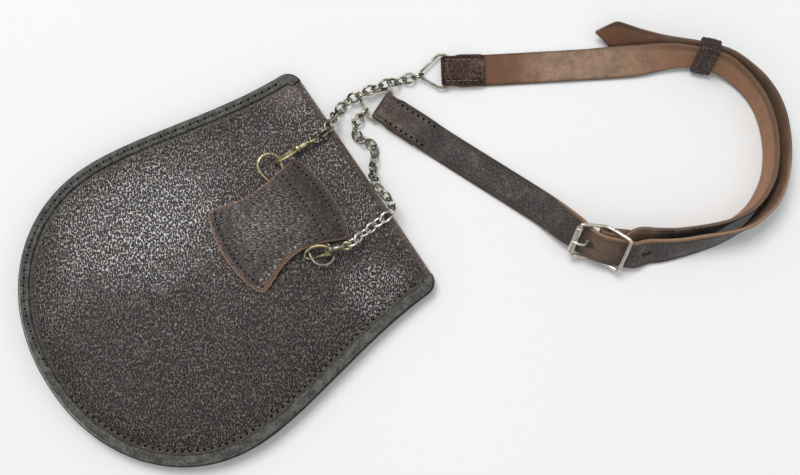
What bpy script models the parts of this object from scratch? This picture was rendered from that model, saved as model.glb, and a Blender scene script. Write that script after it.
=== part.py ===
"""Leather sporran pouch with its waist strap, lying on its front on a table.

Lengths are in millimetres in the tables and metres in the scene. World X runs
along the strap loop, world Y away from the viewer, and Z up from the table.
The pouch, its tab, rings and clasps are modelled in a pouch frame: origin in the
middle of the mouth edge, +X across the pouch, -Y down it.
"""

import math

import bmesh
import bpy
from mathutils import Matrix, Vector, geometry

MM = 0.001
GAP = 0.3  # clearance between pieces that touch
ORIGIN_SHIFT = (-3.4, 5.4, 0.0)  # brings the middle of the base to the origin

# Pouch outline, seen from behind
MOUTH_HALF = 80.0
WIDEST_HALF = 98.0
WIDEST_AT = 136.0  # distance from the mouth edge
POUCH_LENGTH = 224.0
CORNER_RADIUS = 9.0
BOTTOM_POWER = 2.1  # of the superellipse that closes the bottom
SIDE_HANDLE_TOP = 43.0
SIDE_HANDLE_LOW = 33.0

# Pouch leather
WALL = 2.0
PANEL_INSET = 1.6  # from the binding's outer edge to the panels' edge
RIM_FLAT = 7.0  # stitched border that the binding covers
RIM_HEIGHT_MOUTH = 6.8
RIM_HEIGHT_LOW = 9.6
BACK_CROWN = 16.0  # rise of the back above its rim
BACK_CROWN_AT_MOUTH = 0.3  # share of that rise left at the mouth
FRONT_SAG = 14.0
FOLD_DEPTH = 4.5  # how far the mouth fold stands out beyond the panels
FLAP_LENGTH = 92.0
FLAP_HALF = 60.0
FLAP_REST = 3.3  # height of the front panel's middle surface where it lies on the flap

# Binding over the stitched edge
BIND_WALL = 1.2
BIND_REACH = 5.4
BIND_GAP = 0.5  # inside the fold, where the facets come nearest to the panels
BIND_START = 7.0  # distance from the mouth edge

# Tab that holds the rings
TAB_WALL = 2.2
TAB_BRIDGE = 3.8  # height of the free middle of the tab above the back
TAB_TOP_Y = -28.5
TAB_LOW_Y = -89.5
TAB_TOP_HALF_LEFT = 30.0
TAB_TOP_HALF_RIGHT = 27.5
TAB_LOW_HALF = 30.0
TAB_LOW_CENTRE = -1.4
TAB_TOP_BULGE = 4.7
TAB_LOW_BULGE = 6.5
TAB_WAIST_LEFT = 6.0
TAB_WAIST_RIGHT = 9.4
TAB_WAIST_LEFT_SKEW = 1.3  # puts the left waist nearer the tab's lower edge

# Metal
RING_WIRE = 0.9  # radius
RING_RADIUS = 7.1
RING_BAR_HALF = 5.6
CHAIN_WIRE = 0.7  # radius
CHAIN_1_LINKS = 17
CHAIN_2_LINKS = 22
LINK_WIDTH = 7.2
LINK_GAP = 0.44  # between the wires of two links that pull on each other
TRIANGLE_WIRE = 0.75  # radius

# Straps
STRAP_WIDTH = 19.5
STRAP_WALL = 2.4

# Buckle
BUCKLE_CENTRE = (119.6, -4.0, 10.4)
BUCKLE_HEADING = -19.3
BUCKLE_LEAN = 42.0
BUCKLE_HALF_LENGTH = 15.5
BUCKLE_HALF_HEIGHT = 11.7
BUCKLE_WIRE = 1.1  # radius

POUCH_PLACE = (-20.7, 36.3)
POUCH_TURN = -56.0


# ---------------------------------------------------------------- scene tools


def clear_scene():
    for obj in list(bpy.data.objects):
        bpy.data.objects.remove(obj, do_unlink=True)


def material(name, colour, roughness, metallic):
    made = bpy.data.materials.new(name)
    made.use_nodes = True
    shader = made.node_tree.nodes["Principled BSDF"]
    shader.inputs["Base Color"].default_value = (*colour, 1.0)
    shader.inputs["Roughness"].default_value = roughness
    shader.inputs["Metallic"].default_value = metallic
    return made


def add_object(name, vertices, faces, finish, parent=None):
    """A mesh object from points in millimetres."""
    mesh = bpy.data.meshes.new(name)
    mesh.from_pydata([Vector(v) * MM for v in vertices], [], faces)
    bm = bmesh.new()
    bm.from_mesh(mesh)
    bmesh.ops.recalc_face_normals(bm, faces=bm.faces)
    bm.to_mesh(mesh)
    bm.free()
    mesh.shade_smooth()
    mesh.set_sharp_from_angle(angle=math.radians(40))
    obj = bpy.data.objects.new(name, mesh)
    obj.data.materials.append(finish)
    obj.parent = parent
    bpy.context.scene.collection.objects.link(obj)
    return obj


def add_frame(name, matrix):
    """An empty that carries pieces modelled in their own frame."""
    empty = bpy.data.objects.new(name, None)
    empty.matrix_world = matrix
    bpy.context.scene.collection.objects.link(empty)
    return empty


def frame_matrix(origin, along, side, up):
    columns = Matrix((along, side, up)).transposed().to_4x4()
    return Matrix.Translation(Vector(origin) * MM) @ columns


def add_wall(obj, thickness):
    wall = obj.modifiers.new("Wall", "SOLIDIFY")
    wall.thickness = thickness * MM
    wall.offset = 0.0
    wall.use_even_offset = False


def cut(obj, cutter):
    cutter.hide_render = True
    cutter.display_type = "WIRE"
    hole = obj.modifiers.new(cutter.name, "BOOLEAN")
    hole.operation = "DIFFERENCE"
    hole.object = cutter


# -------------------------------------------------------------- curve helpers


def smooth_step(value):
    value = min(1.0, max(0.0, value))
    return value * value * (3.0 - 2.0 * value)


def spline(points, spacing):
    """Points about `spacing` apart on a centripetal curve through `points`."""
    points = [Vector(p) for p in points]
    ends = [points[0] * 2 - points[1], *points, points[-1] * 2 - points[-2]]
    result = []
    for p0, p1, p2, p3 in zip(ends, ends[1:], ends[2:], ends[3:]):
        t1 = max((p1 - p0).length, 1e-6) ** 0.5
        t2 = t1 + max((p2 - p1).length, 1e-6) ** 0.5
        t3 = t2 + max((p3 - p2).length, 1e-6) ** 0.5
        steps = max(1, round((p2 - p1).length / spacing))
        for step in range(steps):
            t = t1 + (t2 - t1) * step / steps
            a1 = p0 * ((t1 - t) / t1) + p1 * (t / t1)
            a2 = p1 * ((t2 - t) / (t2 - t1)) + p2 * ((t - t1) / (t2 - t1))
            a3 = p2 * ((t3 - t) / (t3 - t2)) + p3 * ((t - t2) / (t3 - t2))
            b1 = a1 * ((t2 - t) / t2) + a2 * (t / t2)
            b2 = a2 * ((t3 - t) / (t3 - t1)) + a3 * ((t - t1) / (t3 - t1))
            result.append(b1 * ((t2 - t) / (t2 - t1)) + b2 * ((t - t1) / (t2 - t1)))
    result.append(points[-1].copy())
    return result


def at_distances(path, distances):
    """Points of a polyline at the given distances from its start."""
    found = []
    index = 0
    travelled = 0.0
    for distance in distances:
        length = (path[index + 1] - path[index]).length
        while travelled + length < distance and index < len(path) - 2:
            travelled += length
            index += 1
            length = (path[index + 1] - path[index]).length
        share = (distance - travelled) / length
        found.append(path[index].lerp(path[index + 1], share))
    return found


def path_length(path):
    return sum((b - a).length for a, b in zip(path, path[1:]))


def loft(rings, closed_path=False):
    """Vertices and faces of a tube through equal rings of points."""
    size = len(rings[0])
    count = len(rings)
    vertices = [point for ring in rings for point in ring]
    faces = []
    for i in range(count if closed_path else count - 1):
        here = i * size
        there = (i + 1) % count * size
        for j in range(size):
            k = (j + 1) % size
            faces.append((here + j, here + k, there + k, there + j))
    if not closed_path:
        faces.append(tuple(range(size))[::-1])
        faces.append(tuple(range((count - 1) * size, count * size)))
    return vertices, faces


def wire(path, radius, sides, closed_path=False, first_side=None):
    """A round wire along a path, without twist from point to point."""
    count = len(path)
    rings = []
    side = Vector(first_side) if first_side else None
    for i, point in enumerate(path):
        if closed_path:
            along = path[(i + 1) % count] - path[i - 1]
        else:
            along = path[min(i + 1, count - 1)] - path[max(i - 1, 0)]
        along.normalize()
        if side is None:
            side = along.orthogonal()
        side = (side - along * side.dot(along)).normalized()
        other = along.cross(side)
        rings.append(
            [
                point
                + side * (radius * math.cos(2 * math.pi * k / sides))
                + other * (radius * math.sin(2 * math.pi * k / sides))
                for k in range(sides)
            ]
        )
    return loft(rings, closed_path)


# ------------------------------------------------------------ pouch, own frame


def outline_side(steps_side, steps_bottom, inset):
    """Right half of the outline from the mouth corner to the bottom middle."""
    corner = CORNER_RADIUS
    points = []
    for k in range(3):
        angle = math.pi / 2 * (1 - k / 3)
        points.append(
            Vector(
                (
                    MOUTH_HALF - corner + corner * math.cos(angle),
                    -corner + corner * math.sin(angle),
                )
            )
        )
    start = Vector((MOUTH_HALF, -corner))
    end = Vector((WIDEST_HALF, -WIDEST_AT))
    handle_a = start + Vector((1.0, -SIDE_HANDLE_TOP))
    handle_b = end + Vector((0.0, SIDE_HANDLE_LOW))
    for k in range(steps_side):
        t = k / steps_side
        points.append(
            start * (1 - t) ** 3
            + handle_a * (3 * (1 - t) ** 2 * t)
            + handle_b * (3 * (1 - t) * t * t)
            + end * t**3
        )
    power = 2.0 / BOTTOM_POWER
    for k in range(steps_bottom + 1):
        angle = math.pi / 2 * k / steps_bottom
        points.append(
            Vector(
                (
                    WIDEST_HALF * max(math.cos(angle), 0.0) ** power,
                    -WIDEST_AT
                    - (POUCH_LENGTH - WIDEST_AT) * math.sin(angle) ** power,
                )
            )
        )
    points[-1].x = 0.0
    moved = []
    for k, point in enumerate(points):
        before = points[max(k - 1, 0)]
        after = points[min(k + 1, len(points) - 1)]
        along = (after - before).normalized()
        if k == 0:
            along = Vector((1.0, 0.0))
        if k == len(points) - 1:
            along = Vector((-1.0, 0.0))
        moved.append(point - Vector((-along.y, along.x)) * inset)
    return moved


OUTER_SIDE = outline_side(24, 32, 0.0)
CREASE_SIDE = outline_side(24, 32, PANEL_INSET + RIM_FLAT + 0.8)


def half_width(y, side=OUTER_SIDE):
    """Half width at a place down the pouch, of its outline or of its crease."""
    if y >= side[0].y:
        return side[0].x
    for upper, lower in zip(side, side[1:]):
        if lower.y <= y < upper.y:
            return upper.x + (lower.x - upper.x) * (upper.y - y) / (upper.y - lower.y)
    return 0.0


def rim_height(y):
    """Height of the seam between the two panels."""
    return RIM_HEIGHT_MOUTH + (RIM_HEIGHT_LOW - RIM_HEIGHT_MOUTH) * smooth_step(-y / 120)


def swell(x, y):
    """Share of the full rise at a point, from 0 at the seam to 1 in the middle."""
    crease = half_width(y, CREASE_SIDE)
    across = max(0.0, 1 - (abs(x) / max(crease, 0.1)) ** 2.6)
    depth = -y
    low_end = -CREASE_SIDE[-1].y
    share = max(0.0, (depth - WIDEST_AT) / (low_end - WIDEST_AT))
    down = max(0.0, 1 - share**2.6)
    return across * down


def back_middle(x, y):
    mouth = BACK_CROWN_AT_MOUTH + (1 - BACK_CROWN_AT_MOUTH) * smooth_step(-y / 90)
    lift = WALL / 2 + GAP / 2
    return rim_height(y) + lift + BACK_CROWN * mouth * swell(x, y)


def back_top(x, y):
    return back_middle(x, y) + WALL / 2


def front_middle(x, y):
    floor = WALL / 2 + (FLAP_REST - WALL / 2) * smooth_step((140 + y) / 24)
    seam = rim_height(y) - WALL / 2 - GAP / 2
    return min(seam, max(floor, seam - FRONT_SAG * swell(x, y)))


MOUTH_STEPS = 10
RIM_RINGS = (0.0, 3.5, 7.0, 11.0, 18.0, 29.0, 44.0, 62.0)
PANEL_CENTRE = Vector((0.0, -112.0))


def panel_outline(mouth_y):
    """Outline of a panel: the straight mouth edge first, then round the seam."""
    side = [p for p in outline_side(6, 9, PANEL_INSET) if p.y < mouth_y - 0.5]
    half = half_width(mouth_y) - PANEL_INSET - 2.0
    mouth = [
        Vector((half * (1 - 2 * k / MOUTH_STEPS), mouth_y)) for k in range(MOUTH_STEPS + 1)
    ]
    left = [Vector((-p.x, p.y)) for p in side[:-1]]
    return mouth + left + [side[-1]] + side[:-1][::-1]


def panel_mesh(outline, height):
    """A dished panel as rings that step in from the outline to its middle."""
    vertices = []
    faces = []
    size = len(outline)
    for distance in RIM_RINGS:
        for point in outline:
            reach = (point - PANEL_CENTRE).length
            spot = PANEL_CENTRE.lerp(point, 1 - distance / reach)
            vertices.append(Vector((spot.x, spot.y, height(spot.x, spot.y))))
    for ring in range(len(RIM_RINGS) - 1):
        for k in range(size):
            after = (k + 1) % size
            here = ring * size
            faces.append((here + k, here + after, here + size + after, here + size + k))
    centre = PANEL_CENTRE
    vertices.append(Vector((centre.x, centre.y, height(centre.x, centre.y))))
    last = (len(RIM_RINGS) - 1) * size
    for k in range(size):
        faces.append((last + k, last + (k + 1) % size, len(vertices) - 1))
    return vertices, faces


def flap_half(share):
    """Half width of the flap from the fold, 0, to its lower edge, 1."""
    return (half_width(0) - PANEL_INSET - 2.0) * (1 - share) + FLAP_HALF * share


def build_back_panel(finish, parent):
    """Back, mouth fold and front flap, cut from one piece of leather."""
    outline = panel_outline(-FOLD_DEPTH)
    vertices, faces = panel_mesh(outline, back_middle)
    columns = MOUTH_STEPS + 1
    above = list(range(columns))
    flap_middle = WALL / 2
    fold_steps = 5
    for step in range(1, fold_steps + 1):
        angle = math.pi * step / fold_steps
        row = []
        for k in range(columns):
            top = vertices[k]
            half_rise = (top.z - flap_middle) / 2
            depth = FOLD_DEPTH - WALL / 2
            row.append(len(vertices))
            vertices.append(
                Vector(
                    (
                        top.x,
                        top.y + depth * math.sin(angle),
                        flap_middle + half_rise * (1 + math.cos(angle)),
                    )
                )
            )
        above = join_rows(faces, above, row)
    flap_rows = 7
    for step in range(1, flap_rows + 1):
        share = step / flap_rows
        row = []
        for k in range(columns):
            place = 1 - 2 * k / MOUTH_STEPS
            low_end = FLAP_LENGTH - 24.0 * place * place
            row.append(len(vertices))
            vertices.append(
                Vector(
                    (
                        place * flap_half(share),
                        -FOLD_DEPTH - (low_end - FOLD_DEPTH) * share,
                        flap_middle,
                    )
                )
            )
        above = join_rows(faces, above, row)
    obj = add_object("back_panel", vertices, faces, finish, parent)
    add_wall(obj, WALL)
    return obj


def join_rows(faces, above, row):
    for k in range(len(row) - 1):
        faces.append((above[k], above[k + 1], row[k + 1], row[k]))
    return row


def build_front_panel(finish, parent):
    outline = panel_outline(-FOLD_DEPTH - WALL)
    vertices, faces = panel_mesh(outline, front_middle)
    obj = add_object("front_panel", vertices, faces, finish, parent)
    add_wall(obj, WALL)
    return obj


def build_edge_binding(finish, parent):
    """Leather strip folded over the sewn edge, open towards the panels."""
    inner = WALL + GAP / 2 + BIND_GAP
    outer = inner + BIND_WALL
    section = (
        (-BIND_REACH, outer),
        (-0.8, outer),
        (0.8, outer * 0.8),
        (PANEL_INSET, outer * 0.3),
        (PANEL_INSET, -outer * 0.3),
        (0.8, -outer * 0.8),
        (-0.8, -outer),
        (-BIND_REACH, -outer),
        (-BIND_REACH, -inner),
        (GAP * 2, -inner),
        (GAP * 2, inner),
        (-BIND_REACH, inner),
    )
    side = [p for p in outline_side(8, 12, PANEL_INSET) if -p.y > BIND_START]
    route = [Vector((-p.x, p.y)) for p in side[:-1]] + side[::-1]
    rings = []
    for k, point in enumerate(route):
        before = route[max(k - 1, 0)]
        after = route[min(k + 1, len(route) - 1)]
        along = (after - before).normalized()
        out = Vector((along.y, -along.x))
        height = rim_height(point.y)
        rings.append(
            [(point.x + out.x * o, point.y + out.y * o, height + z) for o, z in section]
        )
    vertices, faces = loft(rings)
    return add_object("edge_binding", vertices, faces, finish, parent)


def tab_point(across, down):
    """Point of the tab's outline grid; across -1 to 1, down 0 to 1."""
    top_y = TAB_TOP_Y + TAB_TOP_BULGE * (1 - across * across)
    low_y = TAB_LOW_Y - TAB_LOW_BULGE * (1 - across * across)
    y = top_y + (low_y - top_y) * down
    if across > 0:
        top_half, waist, skew = TAB_TOP_HALF_RIGHT, TAB_WAIST_RIGHT, 1.0
    else:
        top_half, waist, skew = TAB_TOP_HALF_LEFT, TAB_WAIST_LEFT, TAB_WAIST_LEFT_SKEW
    half = top_half + (TAB_LOW_HALF - top_half) * down
    half -= waist * max(0.0, math.sin(math.pi * down**skew)) ** 1.2
    return half * across + TAB_LOW_CENTRE * down, y


def tab_middle(across, down):
    x, y = tab_point(across, down)
    free = smooth_step(down / 0.2) * smooth_step((1 - down) / 0.3)
    return back_top(x, y) + GAP + TAB_WALL / 2 + TAB_BRIDGE * free


def build_back_tab(finish, parent):
    """Patch sewn down at both ends; the ring bars lie under its free sides."""
    columns = 12
    rows = 12
    vertices = []
    for j in range(rows + 1):
        for i in range(columns + 1):
            across = 2 * i / columns - 1
            down = j / rows
            x, y = tab_point(across, down)
            vertices.append((x, y, tab_middle(across, down)))
    faces = []
    for j in range(rows):
        for i in range(columns):
            k = j * (columns + 1) + i
            faces.append((k, k + 1, k + columns + 2, k + columns + 1))
    obj = add_object("back_tab", vertices, faces, finish, parent)
    add_wall(obj, TAB_WALL)
    return obj


# ----------------------------------------------------------- rings and clasps

# One row for each ring: the share of the tab's length where its bar lies, the way it
# points, how far its bar is in from the tab's edge, its rise, and how far one of its
# legs is lifted over the other, in degrees
RINGS = (
    {"name": "d_ring_left", "down": 0.27, "points": -1, "inside": 1.2, "rise": 15.0, "tilt": 0.0},
    {"name": "d_ring_right", "down": 0.32, "points": 1, "inside": 1.7, "rise": 6.0, "tilt": 7.0},
)
RING_DEPTH = 8.3  # from the bar to the middle of the ring's arc


def ring_frame(row):
    """Matrix of a ring: X away from its bar, Y along the bar."""
    x, y = tab_point(row["points"], row["down"])
    x -= row["points"] * row["inside"]
    tilt = math.radians(row["tilt"])
    rise = math.radians(row["rise"])
    base = back_top(x, y) + GAP + RING_WIRE + RING_RADIUS * math.sin(tilt) + 0.1
    slope = (back_top(x, y + 6) - back_top(x, y - 6)) / 12
    side = Vector((0, 1, slope - math.tan(tilt))).normalized() * row["points"]
    along = Vector((row["points"] * math.cos(rise), 0, math.sin(rise)))
    along = (along - side * along.dot(side)).normalized()
    return frame_matrix((x, y, base), along, side, along.cross(side))


def ring_path():
    """Closed D shape: bar on the Y axis, legs, and a half-round end."""
    arc_steps = 14
    path = []
    for k in range(arc_steps + 1):
        angle = math.radians(-100 + 200 * k / arc_steps)
        path.append(
            Vector((RING_DEPTH + RING_RADIUS * math.cos(angle), RING_RADIUS * math.sin(angle), 0))
        )
    corner = 1.4
    path += [
        Vector((corner, RING_BAR_HALF, 0)),
        Vector((corner * 0.3, RING_BAR_HALF - corner * 0.3, 0)),
        Vector((0, RING_BAR_HALF - corner, 0)),
        Vector((0, corner - RING_BAR_HALF, 0)),
        Vector((corner * 0.3, corner * 0.3 - RING_BAR_HALF, 0)),
        Vector((corner, -RING_BAR_HALF, 0)),
    ]
    return path


def build_rings(finishes, pouch):
    for row in RINGS:
        frame = add_frame(row["name"] + "_frame", ring_frame(row))
        frame.parent = pouch
        vertices, faces = wire(ring_path(), RING_WIRE, 8, True, (0, 0, 1))
        add_object(row["name"], vertices, faces, finishes[row["name"]], frame)


# Clasp: X from the hooked wire to the swivel eye, Z to the side of the arm
ARM_ROUTE = (
    (12.5, 0.8),
    (10.6, 3.2),
    (8.0, 4.4),
    (4.8, 4.9),
    (1.7, 4.3),
    (-1.2, 2.7),
    (-2.7, 0.4),
    (-2.3, -1.6),
    (-0.4, -2.7),
    (2.2, -2.6),
)
ARM_WIRE = 0.9
LEVER_HEIGHT = -2.4
LEVER_PIVOT = 10.3
LEVER_TIP = 2.6
LEVER_HALF = 0.5
COLLAR = ((11.5, 2.1), (12.3, 2.5), (13.5, 2.5), (14.1, 2.1))
BARREL = ((14.7, 1.8), (18.5, 1.7), (19.1, 1.3))
EYE_CENTRE = 22.6
EYE_RADIUS = 2.5
EYE_WIRE = 0.75
HOOK_SLACK = 0.4  # the hooked wire lies this far from the middle of the bend

# One row for each clasp: the ring that it hooks, the place on that ring's arc or
# leg, the place of its eye and how high that is above the back, and its roll
CLASPS = (
    {"name": "clasp_1", "ring": 0, "held": (8.3, -7.1), "eye": (-34.0, -13.6), "above": 4.9, "lift": 0.0, "roll": 25.0},
    {"name": "clasp_2", "ring": 1, "held": (4.8, -6.5), "eye": (31.9, -31.0), "above": 10.0, "lift": 0.2, "roll": -48.0},
)


def turned(profile, sides):
    """A solid turned about the X axis from (x, radius) pairs, closed at the end."""
    rings = [
        [
            Vector((x, r * math.cos(2 * math.pi * k / sides), r * math.sin(2 * math.pi * k / sides)))
            for k in range(sides)
        ]
        for x, r in profile
    ]
    return loft(rings)


def clasp_matrix(row):
    """Frame of a clasp in the pouch frame, its origin inside the hooked wire."""
    ring = ring_frame(RINGS[row["ring"]])
    start = ring @ (Vector((*row["held"], 0)) * MM) / MM
    x, y = row["eye"]
    eye = Vector((x, y, back_top(x, y) + row["above"]))
    along = (eye - start).normalized()
    start -= along * HOOK_SLACK
    start.z += row["lift"]
    level = Vector((0, 0, 1)).cross(along).normalized()
    raised = along.cross(level)
    roll = math.radians(row["roll"])
    up = raised * math.cos(roll) - level * math.sin(roll)
    return frame_matrix(start, along, up.cross(along), up)


def join_into(obj, other):
    """Boolean union of a second mesh, which is then only a helper."""
    other.hide_render = True
    other.display_type = "WIRE"
    joined = obj.modifiers.new(other.name, "BOOLEAN")
    joined.operation = "UNION"
    joined.object = other


def build_clasp(row, finish, pouch):
    name = row["name"]
    frame = add_frame(name + "_frame", clasp_matrix(row))
    frame.parent = pouch
    route = spline([(x, 0, z) for x, z in ARM_ROUTE], 1.9)
    arm_vertices, arm_faces = wire(route, ARM_WIRE, 8, False, (0, 1, 0))
    body_vertices, body_faces = turned(COLLAR + BARREL, 12)
    body = add_object(name + "_hook", body_vertices, body_faces, finish, frame)
    arm = add_object(name + "_arm", arm_vertices, arm_faces, finish, frame)
    join_into(body, arm)
    for side in (-1, 1):
        lug = box_mesh((LEVER_PIVOT - 0.9, LEVER_PIVOT + 2.4), (side * 1.0, side * 1.7), (-2.8, 0.4))
        lug_object = add_object(f"{name}_lug_{side}", *lug, finish, frame)
        join_into(body, lug_object)
    half = LEVER_HALF
    lever_low = LEVER_HEIGHT - half
    profile = (
        (LEVER_TIP, LEVER_HEIGHT + half),
        (LEVER_PIVOT, LEVER_HEIGHT + half + 0.3),
        (LEVER_PIVOT + 0.8, LEVER_HEIGHT),
        (LEVER_PIVOT, lever_low - 0.1),
        (LEVER_PIVOT - 2.2, lever_low - 0.1),
        (LEVER_PIVOT - 3.0, lever_low - 0.5),
        (LEVER_PIVOT - 3.8, lever_low - 0.5),
        (LEVER_PIVOT - 4.4, lever_low),
        (LEVER_TIP, lever_low),
    )
    rings = [[(x, y, z) for x, z in profile] for y in (-0.7, 0.7)]
    lever = add_object(name + "_lever", *loft(rings), finish, frame)
    lever.data.transform(Matrix.Translation((-LEVER_PIVOT * MM, 0, -LEVER_HEIGHT * MM)))
    lever.location = (LEVER_PIVOT * MM, 0, LEVER_HEIGHT * MM)
    eye_steps = 16
    eye_path = [
        Vector(
            (
                EYE_CENTRE + EYE_RADIUS * math.cos(2 * math.pi * k / eye_steps),
                0,
                EYE_RADIUS * math.sin(2 * math.pi * k / eye_steps),
            )
        )
        for k in range(eye_steps)
    ]
    eye = add_object(
        name + "_swivel", *wire(eye_path, EYE_WIRE, 8, True, (0, 1, 0)), finish, frame
    )
    eye_start = EYE_CENTRE - EYE_RADIUS
    barrel_end = BARREL[-1][0] + GAP
    stem_profile = (
        (barrel_end, 0.9),
        (barrel_end, 1.5),
        (barrel_end + 0.5, 1.5),
        (eye_start, 1.0),
    )
    stem = turned(stem_profile, 10)
    join_into(eye, add_object(name + "_stem", *stem, finish, frame))


def box_mesh(xs, ys, zs):
    vertices = [(x, y, z) for x in sorted(xs) for y in sorted(ys) for z in sorted(zs)]
    faces = [
        (0, 1, 3, 2),
        (4, 6, 7, 5),
        (0, 4, 5, 1),
        (2, 3, 7, 6),
        (0, 2, 6, 4),
        (1, 5, 7, 3),
    ]
    return vertices, faces


# --------------------------------------------------------------------- chains

# Where each chain lies between its clasp and its triangle, in world millimetres
CHAIN_1_ROUTE = (
    (-44.9, 60.2),
    (-42.0, 66.4),
    (-39.8, 72.4),
    (-37.2, 77.8),
    (-32.6, 82.2),
    (-26.6, 85.4),
    (-20.4, 88.0),
    (-14.6, 90.6),
    (-9.0, 92.8),
    (-3.0, 94.8),
    (3.4, 96.8),
    (8.4, 98.3),
)
CHAIN_2_ROUTE = (
    (-22.6, -1.2),
    (-17.4, 3.4),
    (-12.0, 7.6),
    (-7.4, 10.6),
    (-4.6, 15.0),
    (-6.0, 20.4),
    (-10.6, 25.0),
    (-14.8, 31.0),
    (-16.4, 37.4),
    (-16.2, 44.0),
    (-15.4, 50.2),
    (-15.8, 55.6),
    (-20.4, 58.4),
    (-25.4, 60.2),
    (-27.6, 65.4),
    (-26.4, 71.2),
)
CHAIN_1_FIRST_ROLL = 38.0  # of the link in the clasp's eye, in degrees
CHAIN_2_FIRST_ROLL = 134
LAST_ROLL = 90.0  # of the link that hooks a triangle
ROLL_WOBBLE = 6.0
LINK_REST = 3.4  # height of a lying link's middle above what it lies on
CROSSED_WIRE = 4.6  # height of the triangle's side that the first chain lies on


def ground(x, y, crossed):
    """Height of what lies on the table at a place: pouch, crossed wire or nothing."""
    beneath = 0.0
    for a, b in zip(crossed, crossed[1:]):
        nearest, share = geometry.intersect_point_line((x, y), a, b)
        nearest = a.lerp(b, min(1.0, max(0.0, share)))
        if (Vector((x, y)) - nearest).length < 1.5:
            beneath = CROSSED_WIRE
    turn = Matrix.Rotation(math.radians(-POUCH_TURN), 2)
    spot = turn @ (Vector((x, y)) - Vector(POUCH_PLACE))
    if spot.y > 0 or abs(spot.x) > half_width(spot.y):
        return beneath
    if spot.y > -FOLD_DEPTH:
        top = back_top(spot.x, -FOLD_DEPTH)
        share = 1 + spot.y / FOLD_DEPTH
        return top / 2 * (1 + math.sqrt(1 - share * share))
    top = back_top(spot.x, spot.y)
    if half_width(spot.y) - abs(spot.x) < BIND_REACH + PANEL_INSET:
        return max(top, rim_height(spot.y) + WALL + BIND_WALL + GAP)
    if TAB_LOW_Y < spot.y < TAB_TOP_Y + TAB_TOP_BULGE and abs(spot.x) < TAB_LOW_HALF:
        return top + TAB_WALL + GAP
    return top


def settled(start, route, end, crossed=()):
    """A chain's path in space: it rests on what lies beneath the route."""
    flat = spline([start.to_2d(), *route, end.to_2d()], 0.5)
    rest = []
    for point in flat:
        around = [point] + [
            point + Vector((math.cos(k * math.pi / 4), math.sin(k * math.pi / 4))) * 4.0
            for k in range(8)
        ]
        rest.append(max(ground(x, y, crossed) for x, y in around) + LINK_REST)
    path = []
    reach = 8
    for k, point in enumerate(flat):
        near = rest[max(0, k - reach) : k + reach + 1]
        height = sum(near) / len(near)
        for travelled, fixed in ((k, start.z), (len(flat) - 1 - k, end.z)):
            share = smooth_step(travelled * 0.5 / 9.0)
            height = fixed + (height - fixed) * share
        path.append(Vector((point.x, point.y, height)))
    return path


def link_path(pitch, steps):
    """Closed oval centre line of a link, its long side on X."""
    long_half = pitch / 2 + CHAIN_WIRE + LINK_GAP / 2
    wide_half = LINK_WIDTH / 2 - CHAIN_WIRE
    path = []
    for k in range(steps):
        angle = 2 * math.pi * k / steps
        path.append(Vector((long_half * math.cos(angle), wide_half * math.sin(angle), 0)))
    return path


def link_rolls(first, count):
    """About a quarter turn from each link to the next, ending at LAST_ROLL."""
    steps = count - 1
    excess = (LAST_ROLL - first - 90.0 * steps + 90.0) % 180.0 - 90.0
    rolls = []
    for k in range(count):
        late = smooth_step((k - steps + 5) / 5)
        wobble = ROLL_WOBBLE * math.sin(2.1 * k) * (1 - late)
        rolls.append(first + 90.0 * k + excess * late + wobble)
    return rolls


def build_chain(name, path, count, first_roll, finish):
    """Links laid along a path, each turned against the one before it."""
    pitch = path_length(path) / count
    joints = at_distances(path, [k * pitch for k in range(count + 1)])
    vertices, faces = wire(link_path(pitch, 12), CHAIN_WIRE, 5, True, (0, 0, 1))
    template = None
    rolls = link_rolls(first_roll, count)
    for k, (start, end) in enumerate(zip(joints, joints[1:])):
        along = (end - start).normalized()
        level = Vector((0, 0, 1)).cross(along).normalized()
        raised = along.cross(level)
        roll = math.radians(rolls[k])
        side = level * math.cos(roll) + raised * math.sin(roll)
        link = add_object(f"{name}_link_{k + 1:02d}", vertices, faces, finish)
        if template is None:
            template = link.data
        else:
            spare = link.data
            link.data = template
            bpy.data.meshes.remove(spare)
        link.matrix_world = frame_matrix((start + end) / 2, along, side, along.cross(side))


# ------------------------------------------------------------------ triangles

# Middle of each triangle's bar, the bar's heading, and the tip
TRIANGLES = (
    {"name": "triangle_1", "bar": (28.6, 101.9, 3.6), "heading": -87.5, "tip": (10.6, 99.2, 3.85)},
    {"name": "triangle_2", "bar": (-9.8, 79.2, 3.6), "heading": 57.1, "tip": (-25.2, 86.6, 3.85)},
)
TRIANGLE_BAR_HALF = 10.1
TRIANGLE_SHOULDER = 5.2  # straight part beside the folded strap
TIP_RADIUS = 2.6


def rounded_loop(corners, steps):
    """Closed path with an arc at each (corner, radius)."""
    path = []
    count = len(corners)
    for k, (corner, radius) in enumerate(corners):
        before = (corners[k - 1][0] - corner).normalized()
        after = (corners[(k + 1) % count][0] - corner).normalized()
        half = before.angle(after) / 2
        reach = radius / math.tan(half)
        middle = corner + (before + after).normalized() * (radius / math.sin(half))
        first = corner + before * reach - middle
        last = corner + after * reach - middle
        for step in range(steps + 1):
            path.append(middle + first.lerp(last, step / steps).normalized() * radius)
    return path


def triangle_corners(row):
    """Bar end, shoulder, tip, shoulder, bar end."""
    middle = Vector(row["bar"])
    heading = math.radians(row["heading"])
    along = Vector((math.cos(heading), math.sin(heading), 0)) * TRIANGLE_BAR_HALF
    tip = Vector(row["tip"])
    ahead = Vector((-along.y, along.x, 0)).normalized()
    if ahead.dot(tip - middle) < 0:
        ahead = -ahead
    ahead = ahead * TRIANGLE_SHOULDER
    return middle + along, middle + along + ahead, tip, middle - along + ahead, middle - along


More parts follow.
